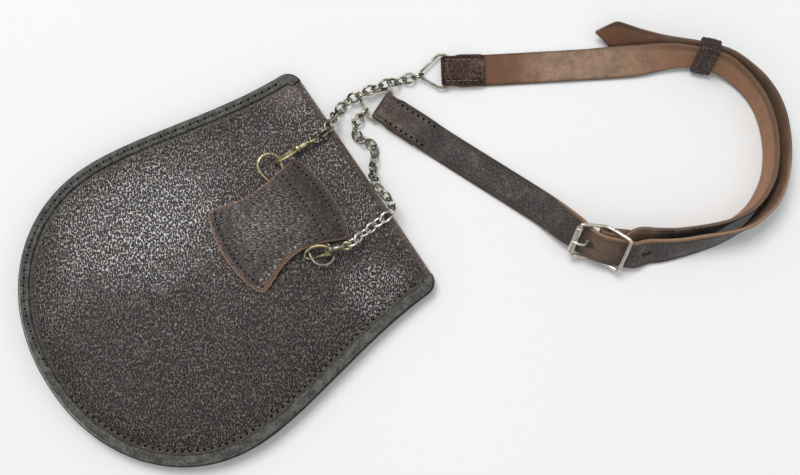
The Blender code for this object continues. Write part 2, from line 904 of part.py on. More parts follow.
def build_triangles(finish):
    for row in TRIANGLES:
        radii = (1.0, 2.4, TIP_RADIUS, 2.4, 1.0)
        path = rounded_loop(list(zip(triangle_corners(row), radii)), 3)
        vertices, faces = wire(path, TRIANGLE_WIRE, 8, True, (0, 0, 1))
        add_object(row["name"], vertices, faces, finish)


def hooked_tip(row):
    """Where a chain's last link meets the inside of a triangle's tip."""
    _, first, tip, last, _ = triangle_corners(row)
    inward = ((first - tip).normalized() + (last - tip).normalized()).normalized()
    half = (first - tip).angle(last - tip) / 2
    arc = TIP_RADIUS / math.sin(half) - TIP_RADIUS
    return tip + inward * (arc + TRIANGLE_WIRE + LINK_GAP / 2)


def hooked_side(row, share):
    """Where a chain's last link meets the inside of a triangle's lower side."""
    _, _, tip, last, _ = triangle_corners(row)
    place = tip.lerp(last, share)
    middle = Vector(row["bar"])
    side = (last - tip).normalized()
    inward = middle - place
    inward = (inward - side * inward.dot(side)).normalized()
    return place + inward * (TRIANGLE_WIRE + LINK_GAP / 2)


# --------------------------------------------------------------------- straps

# Both straps are followed the same way round the loop, the grain side outwards.
# lean: 0 grain up, 90 on edge, 180 grain down. lift: above where it would rest.
TAIL_ROUTE = (
    # x, y, lean, lift
    (-6.6, 77.1, 0.0, 4.6),
    (-0.6, 73.2, 0.0, 3.1),
    (6.0, 69.0, 0.0, 2.7),
    (12.6, 64.7, 0.0, 2.7),
    (18.9, 60.6, 0.0, 0.9),
    (26.0, 56.0, 0.0, 0.0),
    (39.5, 47.3, 1.0, 0.0),
    (56.3, 36.5, 3.0, 0.0),
    (73.0, 25.7, 6.0, 0.2),
    (88.0, 15.6, 12.0, 0.8),
)
TAIL_ROUTE_AFTER = (
    (148.6, -9.4, 50.0, 0.0),
    (156.3, -8.9, 54.0, 0.0),
    (167.0, -7.4, 62.0, 0.0),
    (181.0, -4.2, 70.0, 0.0),
    (191.0, -1.6, 78.0, 0.0),
    (200.0, 1.6, 87.0, 0.0),
    (208.2, 5.9, 94.0, 0.0),
    (215.2, 12.2, 99.0, 0.0),
    (221.2, 19.4, 103.0, 0.0),
    (225.4, 28.0, 105.0, 0.0),
    (228.2, 38.6, 105.0, 0.0),
    (229.4, 50.0, 105.0, 0.0),
    (229.0, 61.0, 105.0, 0.0),
    (227.2, 72.0, 106.0, 0.0),
    (223.2, 82.5, 107.0, 0.2),
    (216.4, 92.4, 108.0, 0.7),
    (206.8, 101.0, 109.0, 1.6),
    (198.4, 106.2, 111.0, 2.7),
    (191.8, 108.7, 112.0, 3.2),
    (178.1, 111.9, 112.0, 3.2),
    (170.0, 113.4, 113.0, 2.4),
    (158.0, 115.6, 116.0, 1.0),
    (143.8, 119.3, 120.0, 0.2),
    (130.6, 123.2, 128.0, 0.0),
    (119.2, 125.2, 135.0, 0.0),
)
TAIL_POINT = 11.0  # length of the pointed tip
TAIL_LAP = 27.0  # length folded back behind the triangle's bar

BUCKLE_STRAP_AFTER = (
    (141.6, -1.8, 57.0, 0.6),
    (152.0, -1.6, 61.0, 0.3),
    (165.0, -0.9, 66.0, 0.2),
    (184.6, 3.4, 78.0, 0.0),
    (194.0, 7.0, 87.0, 0.0),
    (202.8, 11.6, 93.0, 0.0),
    (210.4, 17.4, 97.0, 0.0),
    (216.4, 25.6, 100.0, 0.0),
    (221.0, 36.0, 101.0, 0.0),
    (223.0, 50.0, 101.0, 0.0),
    (222.4, 61.5, 101.0, 0.0),
    (220.4, 71.6, 101.0, 0.0),
    (216.8, 81.2, 102.0, 0.2),
    (210.8, 90.2, 104.0, 0.7),
    (203.6, 97.4, 107.0, 1.6),
    (196.6, 102.6, 111.0, 2.7),
    (191.0, 105.2, 112.0, 3.2),
    (177.3, 108.4, 112.5, 3.2),
    (168.4, 109.4, 121.0, 2.4),
    (159.0, 109.3, 132.0, 1.2),
    (146.0, 107.9, 148.0, 0.4),
    (130.0, 107.3, 168.0, 0.0),
    (113.2, 106.4, 180.0, 0.0),
    (83.9, 104.7, 180.0, 0.0),
    (56.0, 103.1, 180.0, 0.0),
    (34.0, 102.1, 180.0, 0.0),
)
BUCKLE_STRAP_LAP = 23.0  # length folded back over the first triangle's bar
BUCKLE_END_LAP = 19.0  # length folded back behind the buckle's middle bar
FOLD_NARROWING = 2.0  # what the straps lose in width round the triangles' bars
FOLD_RADIUS = STRAP_WALL  # of the middle surface round a triangle's bar


def strap_stations(rows):
    """Middle points and leans of a strap that rests on its lower edge."""
    stations = []
    for x, y, lean, lift in rows:
        angle = math.radians(lean)
        rest = STRAP_WIDTH / 2 * abs(math.sin(angle)) + STRAP_WALL / 2 * abs(math.cos(angle))
        stations.append((Vector((x, y, rest + lift)), lean))
    return stations


def strap_width(place):
    """Width of a strap: a little less where it folds round a triangle's bar."""
    nearest = min((place - Vector(row["bar"])).length for row in TRIANGLES)
    return STRAP_WIDTH - FOLD_NARROWING * smooth_step((9.0 - nearest) / 5.0)


def ribbon(stations, spacing, narrow=None):
    """A strap through (middle, lean) stations; narrow(left over) scales its width."""
    points = [Vector((*place, lean / 10)) for place, lean in stations]
    path = spline(points, spacing)
    remaining = path_length([p.to_3d() for p in path])
    rings = []
    for k, point in enumerate(path):
        place = point.to_3d()
        ahead = path[min(k + 1, len(path) - 1)].to_3d()
        behind = path[max(k - 1, 0)].to_3d()
        if k:
            remaining -= (place - behind).length
        along = (ahead - behind).normalized()
        out = Vector((along.y, -along.x, 0)).normalized()
        lean = math.radians(point.w * 10)
        edge = Vector((0, 0, 1)) * math.sin(lean) - out * math.cos(lean)
        edge = (edge - along * edge.dot(along)).normalized()
        scale = narrow(remaining) if narrow else 1.0
        rings.append(on_table(strap_section(place, edge * scale, along.cross(edge))))
    return rings


def strap_section(place, edge, grain):
    """Eight points: a rectangle with its corners taken off."""
    half = strap_width(place) / 2
    deep = STRAP_WALL / 2
    nip = min(0.5, half * 0.3)
    pairs = (
        (half, deep - nip),
        (half - nip, deep),
        (nip - half, deep),
        (-half, deep - nip),
        (-half, nip - deep),
        (nip - half, -deep),
        (half - nip, -deep),
        (half, nip - deep),
    )
    return [place + edge * e + grain * g for e, g in pairs]


def buckle_axes():
    """Origin and axes of the buckle: along the strap, across it, and outwards."""
    heading = math.radians(BUCKLE_HEADING)
    lean = math.radians(BUCKLE_LEAN)
    along = Vector((math.cos(heading), math.sin(heading), 0))
    out = Vector((along.y, -along.x, 0))
    edge = Vector((0, 0, 1)) * math.sin(lean) - out * math.cos(lean)
    grain = Vector((0, 0, 1)) * math.cos(lean) + out * math.sin(lean)
    return Vector(BUCKLE_CENTRE), along, edge, grain


def in_buckle(along_mm, edge_mm, grain_mm):
    origin, along, edge, grain = buckle_axes()
    return origin + along * along_mm + edge * edge_mm + grain * grain_mm


# Tail strap through the buckle: distance along, off the middle, height outwards, lean
TAIL_IN_BUCKLE = (
    (-22.0, 1.0, -3.0, 22.0),
    (-15.5, 1.0, 0.8, 34.0),
    (-10.5, 0.0, 3.0, 40.0),
    (-5.0, -0.6, 5.1, 42.0),
    (0.0, -0.6, 5.8, 42.5),
    (5.0, -0.6, 5.3, 43.0),
    (10.5, -0.6, 3.8, 43.5),
    (15.5, -0.6, 2.3, 44.5),
    (20.5, -0.6, 1.1, 46.0),
)
HOLE_AT = -7.4


def fold_round(centre, towards, start_side, radius):
    """Points half way round a bar, from one side of it to the other."""
    return [
        centre
        + start_side * (radius * math.cos(angle))
        + towards * (radius * math.sin(angle))
        for angle in (0.0, math.pi / 4, math.pi / 2, math.pi * 3 / 4, math.pi)
    ]


def folded_rings(places, edge, spacing):
    """Rings of a stretch that doubles back on itself, with a fixed edge direction."""
    path = spline(places, spacing)
    rings = []
    for k, place in enumerate(path):
        along = (path[min(k + 1, len(path) - 1)] - path[max(k - 1, 0)]).normalized()
        across = (edge - along * edge.dot(along)).normalized()
        rings.append(on_table(strap_section(place, across, along.cross(across))))
    return rings


def on_table(ring):
    """The ring, lifted where it would sink into the table."""
    sunk = min(0.0, min(corner.z for corner in ring))
    return [corner - Vector((0, 0, sunk)) for corner in ring]


def tail_end_rings():
    """The end that is folded back round the second triangle's bar."""
    start = strap_stations(TAIL_ROUTE[:1])[0][0]
    bar = Vector(TRIANGLES[1]["bar"])
    along = (start - bar).to_2d().to_3d().normalized()
    edge = Vector((-along.y, along.x, 0))
    lap = [
        Vector((bar.x, bar.y, STRAP_WALL / 2)) + along * distance
        for distance in (TAIL_LAP, 20.0, 13.0, 6.0)
    ]
    turn = fold_round(bar, -along, Vector((0, 0, -1)), FOLD_RADIUS)
    return folded_rings([*lap, *turn, start], edge, 3.5)[:-1]


def taper(remaining):
    return max(0.06, min(1.0, remaining / TAIL_POINT))


def build_tail_strap(finish):
    """From the second triangle, through the buckle and round to the pointed tip."""
    within = [
        (in_buckle(along, aside, grain), lean) for along, aside, grain, lean in TAIL_IN_BUCKLE
    ]
    stations = strap_stations(TAIL_ROUTE) + within + strap_stations(TAIL_ROUTE_AFTER)
    rings = tail_end_rings() + ribbon(stations, 5.6, narrow=taper)
    obj = add_object("tail_strap", *loft(rings), finish)
    for number in range(2):
        spot = in_buckle(HOLE_AT, 0, 4.6)
        axis = buckle_axes()[3]
        side = buckle_axes()[1]
        if number == 1:
            spot, axis, side = tail_hole_place()
        punch = add_object(f"punch_{number}", *punch_mesh(spot, axis, side), finish)
        cut(obj, punch)
    return obj


def tail_hole_place():
    """The next hole along the tail, just past the buckle."""
    place, lean = strap_stations(TAIL_ROUTE_AFTER[:1])[0]
    angle = math.radians(lean)
    out = Vector((0, -1, 0))
    grain = Vector((0, 0, 1)) * math.cos(angle) + out * math.sin(angle)
    return place + Vector((-2.0, 0, 0)), grain, Vector((1, 0, 0))


def punch_mesh(spot, axis, side):
    """An oval cutter for one buckle hole."""
    across = axis.cross(side).normalized()
    ring = [
        side * (3.0 * math.cos(2 * math.pi * k / 10)) + across * (1.5 * math.sin(2 * math.pi * k / 10))
        for k in range(10)
    ]
    rings = [[spot + axis * depth + point for point in ring] for depth in (-3.2, 3.2)]
    return loft(rings)


def build_buckle_strap(finish):
    """From the buckle's middle bar round to the first triangle."""
    origin, along, edge, grain = buckle_axes()
    bar_clear = BUCKLE_WIRE + GAP + STRAP_WALL / 2
    lap = [
        in_buckle(distance, rise, -bar_clear - drop)
        for distance, rise, drop in (
            (BUCKLE_END_LAP, 2.0, 3.0),
            (13.0, 1.5, 2.1),
            (7.0, 0.6, 0.8),
            (3.0, 0.0, 0.0),
        )
    ]
    turn = fold_round(in_buckle(0, 0, 0), -along, -grain, bar_clear)
    outer = [
        (in_buckle(distance, 0, height), lean)
        for distance, height, lean in ((3.4, 2.2, 44.0), (8.0, 0.7, 47.0), (14.0, -1.3, 51.0))
    ]
    first = folded_rings([*lap, *turn, outer[0][0]], edge, 3.0)[:-1]
    stations = outer + strap_stations(BUCKLE_STRAP_AFTER)
    middle = ribbon(stations, 5.6)
    end = stations[-1][0]
    bar = Vector(TRIANGLES[0]["bar"])
    onward = (bar - end).to_2d().to_3d().normalized()
    across = Vector((onward.y, -onward.x, 0))
    turn = fold_round(bar, onward, Vector((0, 0, -1)), FOLD_RADIUS)
    above = STRAP_WALL * 1.5 + GAP
    back = [
        Vector((bar.x, bar.y, height)) - onward * distance
        for distance, height in (
            (5.0, bar.z + FOLD_RADIUS - 0.5),
            (11.0, above + 0.5),
            (17.0, above),
            (BUCKLE_STRAP_LAP, above),
        )
    ]
    last = folded_rings([end, *turn, *back], across, 3.0)[1:]
    obj = add_object("buckle_strap", *loft(first + middle + last), finish)
    slot_vertices, slot_faces = box_mesh((-5.0, 5.4), (-1.6, 1.6), (-5.0, 4.6))
    slot = add_object("prong_slot", slot_vertices, slot_faces, finish)
    slot.matrix_world = frame_matrix(origin, along, edge, grain)
    cut(obj, slot)
    return obj


# --------------------------------------------------------------------- buckle

LEFT_BAR_OUT = 6.7
RIGHT_BAR_OUT = 6.2
ROLLER_RADIUS = 2.0
PRONG_WIRE = 0.8
PRONG_ROUTE = (
    (-3.4, 2.3),
    (-5.0, 2.9),
    (-6.6, 4.2),
    (-8.2, 6.4),
    (-9.8, 8.6),
    (-12.2, 9.8),
    (-17.2, 9.8),
)


def build_buckle(finish):
    """Frame bent at its middle bar, roller, and prong."""
    origin, along, edge, grain = buckle_axes()
    frame = add_frame("buckle_frame_axes", frame_matrix(origin, along, edge, grain))
    half = BUCKLE_HALF_LENGTH
    tall = BUCKLE_HALF_HEIGHT
    outline = []
    for x, out in ((-half, LEFT_BAR_OUT), (half, RIGHT_BAR_OUT)):
        sign = 1 if x > 0 else -1
        near = x - sign * 1.6
        near_out = out - 0.6
        column = [
            (near, -sign * tall, near_out),
            (x - sign * 0.5, -sign * (tall - 0.5), out - 0.2),
            (x, -sign * (tall - 1.6), out),
            (x, sign * (tall - 1.6), out),
            (x - sign * 0.5, sign * (tall - 0.5), out - 0.2),
            (near, sign * tall, near_out),
        ]
        outline += column
        outline.append((sign * 1.4, sign * tall, 0.5))
        outline.append((-sign * 1.4, sign * tall, 0.5))
    path = [Vector(p) for p in outline]
    rails = wire(path, BUCKLE_WIRE, 8, True, (0, 0, 1))
    body = add_object("buckle_frame", *rails, finish, frame)
    bar_path = [Vector((0, -tall, 0)), Vector((0, tall, 0))]
    middle = add_object("buckle_middle_bar", *wire(bar_path, 1.0, 8), finish, frame)
    join_into(body, middle)

    roller_half = tall - 2.9
    tube = []
    sides = 12
    for radius, spot in (
        (ROLLER_RADIUS, -roller_half),
        (ROLLER_RADIUS, roller_half),
        (BUCKLE_WIRE + 0.25, roller_half),
        (BUCKLE_WIRE + 0.25, -roller_half),
    ):
        tube.append(
            [
                Vector(
                    (
                        -half + radius * math.cos(2 * math.pi * k / sides),
                        spot,
                        LEFT_BAR_OUT + radius * math.sin(2 * math.pi * k / sides),
                    )
                )
                for k in range(sides)
            ]
        )
    add_object("buckle_roller", *loft(tube, True), finish, frame)

    loop_radius = 2.15
    loop = []
    for k in range(9):
        angle = math.radians(-100 + 245 * k / 8)
        loop.append(Vector((loop_radius * math.cos(angle), 0, loop_radius * math.sin(angle))))
    prong_path = loop + spline([(x, 0, z) for x, z in PRONG_ROUTE], 1.8)
    add_object("buckle_prong", *wire(prong_path, PRONG_WIRE, 8, False, (0, 1, 0)), finish, frame)


# --------------------------------------------------------------------- keeper

KEEPER_PLACE = (184.5, 108.55)
KEEPER_HEADING = 166.8
KEEPER_LIFT = 3.4
KEEPER_LEAN = 112.0
KEEPER_LENGTH = 12.0
KEEPER_WALL = 1.5


def build_keeper(finish):
    """Sewn leather loop round both straps."""
    heading = math.radians(KEEPER_HEADING)
    lean = math.radians(KEEPER_LEAN)
    along = Vector((math.cos(heading), math.sin(heading), 0))
    out = Vector((along.y, -along.x, 0))
    edge = Vector((0, 0, 1)) * math.sin(lean) - out * math.cos(lean)
    grain = Vector((0, 0, 1)) * math.cos(lean) + out * math.sin(lean)
    tall = STRAP_WIDTH / 2 + 1.1
    deep = STRAP_WALL + 1.1
    rings = []
    for scale, station in ((0, -1), (0, 1), (1, 1), (1, -1)):
        half_tall = tall + scale * KEEPER_WALL
        half_deep = deep + scale * KEEPER_WALL
        corner = 0.5 + scale * 1.2
        section = rounded_box(half_tall, half_deep, corner)
        rings.append([(station * KEEPER_LENGTH / 2, e, g) for e, g in section])
    vertices, faces = loft(rings, True)
    rest = STRAP_WIDTH / 2 * math.sin(lean) + STRAP_WALL / 2 * abs(math.cos(lean))
    keeper = add_object("strap_keeper", vertices, faces, finish)
    keeper.matrix_world = frame_matrix((*KEEPER_PLACE, rest + KEEPER_LIFT), along, edge, grain)


def rounded_box(half_x, half_y, corner):
    points = []
    for sx, sy, first in ((1, 1, 0), (-1, 1, 90), (-1, -1, 180), (1, -1, 270)):
        for step in range(3):
            angle = math.radians(first + 45 * step)
            points.append(
                (
                    sx * (half_x - corner) + corner * math.cos(angle),
                    sy * (half_y - corner) + corner * math.sin(angle),
                )
            )
    return points


def main():
    clear_scene()
    brown = material("pouch_leather", (0.045, 0.034, 0.030), 0.45, 0.0)
    edge_leather = material("binding_leather", (0.030, 0.028, 0.026), 0.4, 0.0)
    tab_leather = material("tab_leather", (0.060, 0.042, 0.034), 0.5, 0.0)
    strap_leather = material("strap_leather", (0.24, 0.13, 0.08), 0.6, 0.0)
    keeper_leather = material("keeper_leather", (0.05, 0.03, 0.03), 0.5, 0.0)
    brass = material("old_brass", (0.50, 0.42, 0.22), 0.35, 1.0)
    dull = material("tarnished_brass", (0.30, 0.30, 0.22), 0.45, 1.0)
    chain_metal = material("chain_metal", (0.42, 0.39, 0.30), 0.35, 1.0)
    nickel = material("worn_nickel", (0.55, 0.52, 0.46), 0.3, 1.0)

    turn = Matrix.Rotation(math.radians(POUCH_TURN), 4, "Z")
    place = Matrix.Translation(Vector((*POUCH_PLACE, 0)) * MM)
    pouch_place = place @ turn
    pouch = add_frame("pouch_frame", pouch_place)
    build_back_panel(brown, pouch)
    build_front_panel(brown, pouch)
    build_edge_binding(edge_leather, pouch)
    build_back_tab(tab_leather, pouch)
    build_rings({"d_ring_left": brass, "d_ring_right": dull}, pouch)
    for row in CLASPS:
        build_clasp(row, brass, pouch)
    eye_end = Vector((EYE_CENTRE + EYE_RADIUS - EYE_WIRE - LINK_GAP / 2, 0, 0)) * MM
    starts = [pouch_place @ clasp_matrix(row) @ eye_end / MM for row in CLASPS]
    ends = [hooked_tip(TRIANGLES[0]), hooked_side(TRIANGLES[1], 0.72)]
    crossed = [corner.to_2d() for corner in triangle_corners(TRIANGLES[1])[1:3]]
    path = settled(starts[0], CHAIN_1_ROUTE, ends[0], crossed)
    build_chain("chain_1", path, CHAIN_1_LINKS, CHAIN_1_FIRST_ROLL, chain_metal)
    path = settled(starts[1], CHAIN_2_ROUTE, ends[1])
    build_chain("chain_2", path, CHAIN_2_LINKS, CHAIN_2_FIRST_ROLL, chain_metal)
    build_triangles(brass)
    build_tail_strap(strap_leather)
    build_buckle_strap(strap_leather)
    build_buckle(nickel)
    build_keeper(keeper_leather)
    shift = Matrix.Translation(Vector(ORIGIN_SHIFT) * MM)
    for obj in bpy.data.objects:
        if obj.parent is None:
            obj.matrix_world = shift @ obj.matrix_world


main()
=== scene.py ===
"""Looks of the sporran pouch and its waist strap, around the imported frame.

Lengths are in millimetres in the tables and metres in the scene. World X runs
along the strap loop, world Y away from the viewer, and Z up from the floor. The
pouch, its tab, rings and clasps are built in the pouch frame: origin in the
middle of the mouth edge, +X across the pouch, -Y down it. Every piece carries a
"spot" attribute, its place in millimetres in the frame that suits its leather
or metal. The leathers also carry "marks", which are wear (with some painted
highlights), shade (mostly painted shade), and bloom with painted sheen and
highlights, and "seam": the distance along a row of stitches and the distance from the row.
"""

import math

import bmesh
import bpy
from mathutils import Matrix, Vector, geometry, noise


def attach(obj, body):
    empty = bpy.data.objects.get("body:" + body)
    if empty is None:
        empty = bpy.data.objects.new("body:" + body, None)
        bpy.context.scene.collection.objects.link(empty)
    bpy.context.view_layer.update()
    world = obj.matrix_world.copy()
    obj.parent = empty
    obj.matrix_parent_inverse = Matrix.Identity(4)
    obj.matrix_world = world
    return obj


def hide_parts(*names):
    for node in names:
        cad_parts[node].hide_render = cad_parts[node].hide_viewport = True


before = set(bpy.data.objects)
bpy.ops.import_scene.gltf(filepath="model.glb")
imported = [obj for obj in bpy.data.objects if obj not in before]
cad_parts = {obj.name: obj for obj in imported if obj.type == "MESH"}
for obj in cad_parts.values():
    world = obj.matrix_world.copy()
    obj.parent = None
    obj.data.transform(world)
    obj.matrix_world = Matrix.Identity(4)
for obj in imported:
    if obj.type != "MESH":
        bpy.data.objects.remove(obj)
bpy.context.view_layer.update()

MM = 0.001
GAP = 0.3  # clearance between pieces that touch
ORIGIN_SHIFT = (-3.4, 5.4, 0.0)  # brings the middle of the base to the origin
# Pouch outline, seen from behind
MOUTH_HALF = 80.0
WIDEST_HALF = 98.0
WIDEST_AT = 136.0  # distance from the mouth edge
POUCH_LENGTH = 224.0
CORNER_RADIUS = 9.0
BOTTOM_POWER = 2.1  # of the superellipse that closes the bottom
SIDE_HANDLE_TOP = 43.0
SIDE_HANDLE_LOW = 33.0
# Pouch leather
WALL = 2.0
PANEL_INSET = 1.6  # from the binding's outer edge to the panels' edge
RIM_FLAT = 7.0  # stitched border that the binding covers
RIM_HEIGHT_MOUTH = 6.8
RIM_HEIGHT_LOW = 9.6
BACK_CROWN = 16.0  # rise of the back above its rim
BACK_CROWN_AT_MOUTH = 0.3  # share of that rise left at the mouth
FRONT_SAG = 14.0
FOLD_DEPTH = 4.5  # how far the mouth fold stands out beyond the panels
FLAP_LENGTH = 92.0
FLAP_HALF = 60.0
FLAP_ROUNDING = 24.0  # what the flap's lower corners lose in length
FLAP_REST = 3.3  # height of the front panel's middle surface where it lies on the flap
# Binding over the stitched edge
BIND_WALL = 1.2
BIND_REACH = 5.4
BIND_GAP = 0.5  # inside the fold, where the facets come nearest to the panels
BIND_END = 0.8  # the strip's trimmed ends reach nearly to the mouth edge
STRIP_WIDTH = PANEL_INSET + BIND_REACH
# Stitches round the rim
RIM_PITCH = 4.7
RIM_START = 10.0  # where they begin, from the mouth edge
ROW_CLEAR = 0.6  # they keep this clear of the strip's inner edge
NO_SEAM = 50.0  # the distance from a row of stitches where there is none
# Tab that holds the rings
TAB_WALL = 2.2
TAB_BRIDGE = 3.8  # height of the free middle of the tab above the back
TAB_TOP_Y = -28.5
TAB_LOW_Y = -89.5
TAB_TOP_HALF_LEFT = 30.0
TAB_TOP_HALF_RIGHT = 27.5
TAB_LOW_HALF = 30.0
TAB_LOW_CENTRE = -1.4
TAB_TOP_BULGE = 4.7
TAB_LOW_BULGE = 6.5
TAB_WAIST_LEFT = 6.0
TAB_WAIST_RIGHT = 9.4
TAB_WAIST_LEFT_SKEW = 1.3  # puts the left waist nearer the tab's lower edge
TAB_ROWS = (0.070, 0.225, 0.938)  # of stitches, as shares of the tab's length
TAB_PITCH = 3.2
# Metal; each wire is given by its radius
RING_WIRE = 0.9
RING_RADIUS = 7.1
RING_BAR_HALF = 5.6
RING_DEPTH = 8.3  # from the bar to the middle of the ring's arc
CHAIN_WIRE = 0.7
CHAIN_1_LINKS = 17
CHAIN_2_LINKS = 22
LINK_WIDTH = 7.2
LINK_GAP = 0.44  # between the wires of two links that pull on each other
TRIANGLE_WIRE = 0.75
TRIANGLE_BAR_HALF = 10.1
TRIANGLE_SHOULDER = 5.2  # straight part beside the folded strap
TIP_RADIUS = 2.6
# Straps
STRAP_WIDTH = 19.5
STRAP_WALL = 2.4
TAIL_POINT = 11.0  # length of the pointed tip
TAIL_LAP = 27.0  # length folded back behind the triangle's bar
TAIL_PITCH = 3.8  # of the stitches at the strap's folded end
PATCH_PITCH = 3.4
BUCKLE_STRAP_LAP = 23.0  # length folded back over the first triangle's bar
BUCKLE_END_LAP = 19.0  # length folded back behind the buckle's middle bar
FOLD_NARROWING = 2.0  # what the straps lose in width round the triangles' bars
FOLD_RADIUS = STRAP_WALL  # of the middle surface round a triangle's bar
# Buckle
BUCKLE_CENTRE = (119.6, -4.0, 10.4)
BUCKLE_HEADING = -19.3
BUCKLE_LEAN = 42.0
BUCKLE_HALF_LENGTH = 15.5
BUCKLE_HALF_HEIGHT = 11.7
BUCKLE_WIRE = 1.1
LEFT_BAR_OUT = 6.7
RIGHT_BAR_OUT = 6.2
ROLLER_RADIUS = 2.0
PRONG_WIRE = 0.8
PRONG_LOOP = 2.15  # radius of its curl round the middle bar
HOLE_AT = -7.4  # where the prong's hole lies, from the middle bar
# Keeper
KEEPER_PLACE = (184.5, 108.55)
KEEPER_HEADING = 166.8
KEEPER_LIFT = 3.4
KEEPER_LEAN = 112.0
KEEPER_LENGTH = 12.0
KEEPER_WALL = 1.5
KEEPER_ROOM = 1.1  # between the straps and the loop's inner side
POUCH_PLACE = (-20.7, 36.3)
POUCH_TURN = -56.0
# Floor, light and camera, in metres, watts, degrees and millimetres of lens
FLOOR_LOW = (0.785, 0.785, 0.775)
FLOOR_HIGH = (0.845, 0.845, 0.845)
WORLD_LOW = 0.27
WORLD_HIGH = 0.62
LIGHTS = (
    # name, place, width of the square, watts; each looks at the middle of the object
    ("key", (-0.75, 1.25, 3.0), 1.5, 67.0),
    ("fill", (1.5, -0.1, 1.9), 1.6, 4.5),
)
CAMERA_DISTANCE = 0.754
CAMERA_ELEVATION = 83.0  # nearly above, 7 degrees to the near side
CAMERA_LENS = 56.25


def xyz(x, y, z=0.0):
    return Vector((x, y, z))


UP = xyz(0, 0, 1)
SHIFT = Matrix.Translation(Vector(ORIGIN_SHIFT) * MM)
POUCH = SHIFT @ Matrix.Translation(xyz(*POUCH_PLACE) * MM) @ Matrix.Rotation(math.radians(POUCH_TURN), 4, "Z")
PANEL_CENTRE = Vector((0.0, -112.0))
PANEL_MIDDLE = POUCH @ (xyz(*PANEL_CENTRE, 10) * MM)


# ----------------------------------------------------------------- mesh tools


def mesh_from(name, mesh, looks, place=SHIFT, spots=None, marks=None, seams=None, indices=None, side=0):
    """An object from (points, faces) in millimetres; its vertices hold the world
    place. Its faces look outwards or, with a side, up, 1, or down, -1."""
    points, faces = mesh
    data = bpy.data.meshes.new(name)
    data.from_pydata([place @ (Vector(p) * MM) for p in points], [], faces)
    for label, rows in (("spot", spots or points), ("marks", marks), ("seam", seams)):
        if rows:
            layer = data.attributes.new(label, "FLOAT_VECTOR", "POINT")
            layer.data.foreach_set("vector", [value for row in rows for value in row])
    for look in looks:
        data.materials.append(finishes[look])
    if indices:
        data.polygons.foreach_set("material_index", indices)
    obj = bpy.data.objects.new(name, data)
    bpy.context.scene.collection.objects.link(obj)
    bm = bmesh.new()
    bm.from_mesh(data)
    bmesh.ops.recalc_face_normals(bm, faces=bm.faces)
    if side:
        middle = min(bm.faces, key=lambda face: (face.calc_center_median() - PANEL_MIDDLE).length)
        if middle.normal.z * side < 0:
            bmesh.ops.reverse_faces(bm, faces=bm.faces)
    bm.to_mesh(data)
    bm.free()
    return obj


def baked(obj, angle=40):
    """Puts the result of the modifiers in the mesh and shades it smooth."""
    graph = bpy.context.evaluated_depsgraph_get()
    mesh = bpy.data.meshes.new_from_object(obj.evaluated_get(graph))
    obj.modifiers.clear()
    obj.data = mesh
    mesh.shade_smooth()
    mesh.set_sharp_from_angle(angle=math.radians(angle))
    return obj


def piece(obj, body="pouch", node=None):
    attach(obj, body)
    if node:
        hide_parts(node)


def simple(name, mesh, look, slot, node=None, place=SHIFT, angle=60, **layers):
    """A piece of one finish that needs no modifiers."""
    piece(baked(mesh_from(name, mesh, [look], place, **layers), angle), node=node)


def add_wall(obj, thickness):
    """Leather of one thickness: its grain side, flesh side and cut edge differ."""
    wall = obj.modifiers.new("Wall", "SOLIDIFY")
    wall.thickness = thickness * MM
    wall.offset = 0.0
    wall.use_even_offset = False
    wall.material_offset = 1
    wall.material_offset_rim = 2


def add_bevel(obj, width, angle=50, look=-1):
    bevel = obj.modifiers.new("Bevel", "BEVEL")
    bevel.width = width * MM
    bevel.segments = 2
    bevel.limit_method = "ANGLE"
    bevel.angle_limit = math.radians(angle)
    bevel.material = look


def combined(obj, others, operation):
    """Exact Boolean with helper objects, which are then removed."""
    for other in others:
        step = obj.modifiers.new(other.name, "BOOLEAN")
        step.operation = operation
        step.solver = "EXACT"
        step.object = other
    baked(obj)
    for other in others:
        bpy.data.objects.remove(other, do_unlink=True)
    return obj


def frame_matrix(origin, along, side, up):
    columns = Matrix((along, side, up)).transposed().to_4x4()
    return Matrix.Translation(Vector(origin) * MM) @ columns


def placed(matrix, point):
    """A point in millimetres, moved by a matrix in metres."""
    return matrix @ (point * MM) / MM


def off_pouch(point):
    """A place in the pouch frame, as a place in the straps' frame."""
    return placed(POUCH, point) - Vector(ORIGIN_SHIFT)


def smooth_step(value):
    value = min(1.0, max(0.0, value))
    return value * value * (3.0 - 2.0 * value)


def noise_at(x, y, seed):
    return noise.noise(Vector((x, y, seed)))


def oval(a, b, count):
    """Places (a cos, b sin) at even angles round a full turn."""
    angles = [2 * math.pi * k / count for k in range(count)]
    return [(a * math.cos(angle), b * math.sin(angle)) for angle in angles]


def heading_to(degrees):
    angle = math.radians(degrees)
    return xyz(math.cos(angle), math.sin(angle))


def tilted(along, lean):
    """Edge and grain directions of a level strap that leans by an angle."""
    out = xyz(along.y, -along.x)
    return UP * math.sin(lean) - out * math.cos(lean), UP * math.cos(lean) + out * math.sin(lean)


def between(a, b, low, high, t):
    return a * ((high - t) / (high - low)) + b * ((t - low) / (high - low))


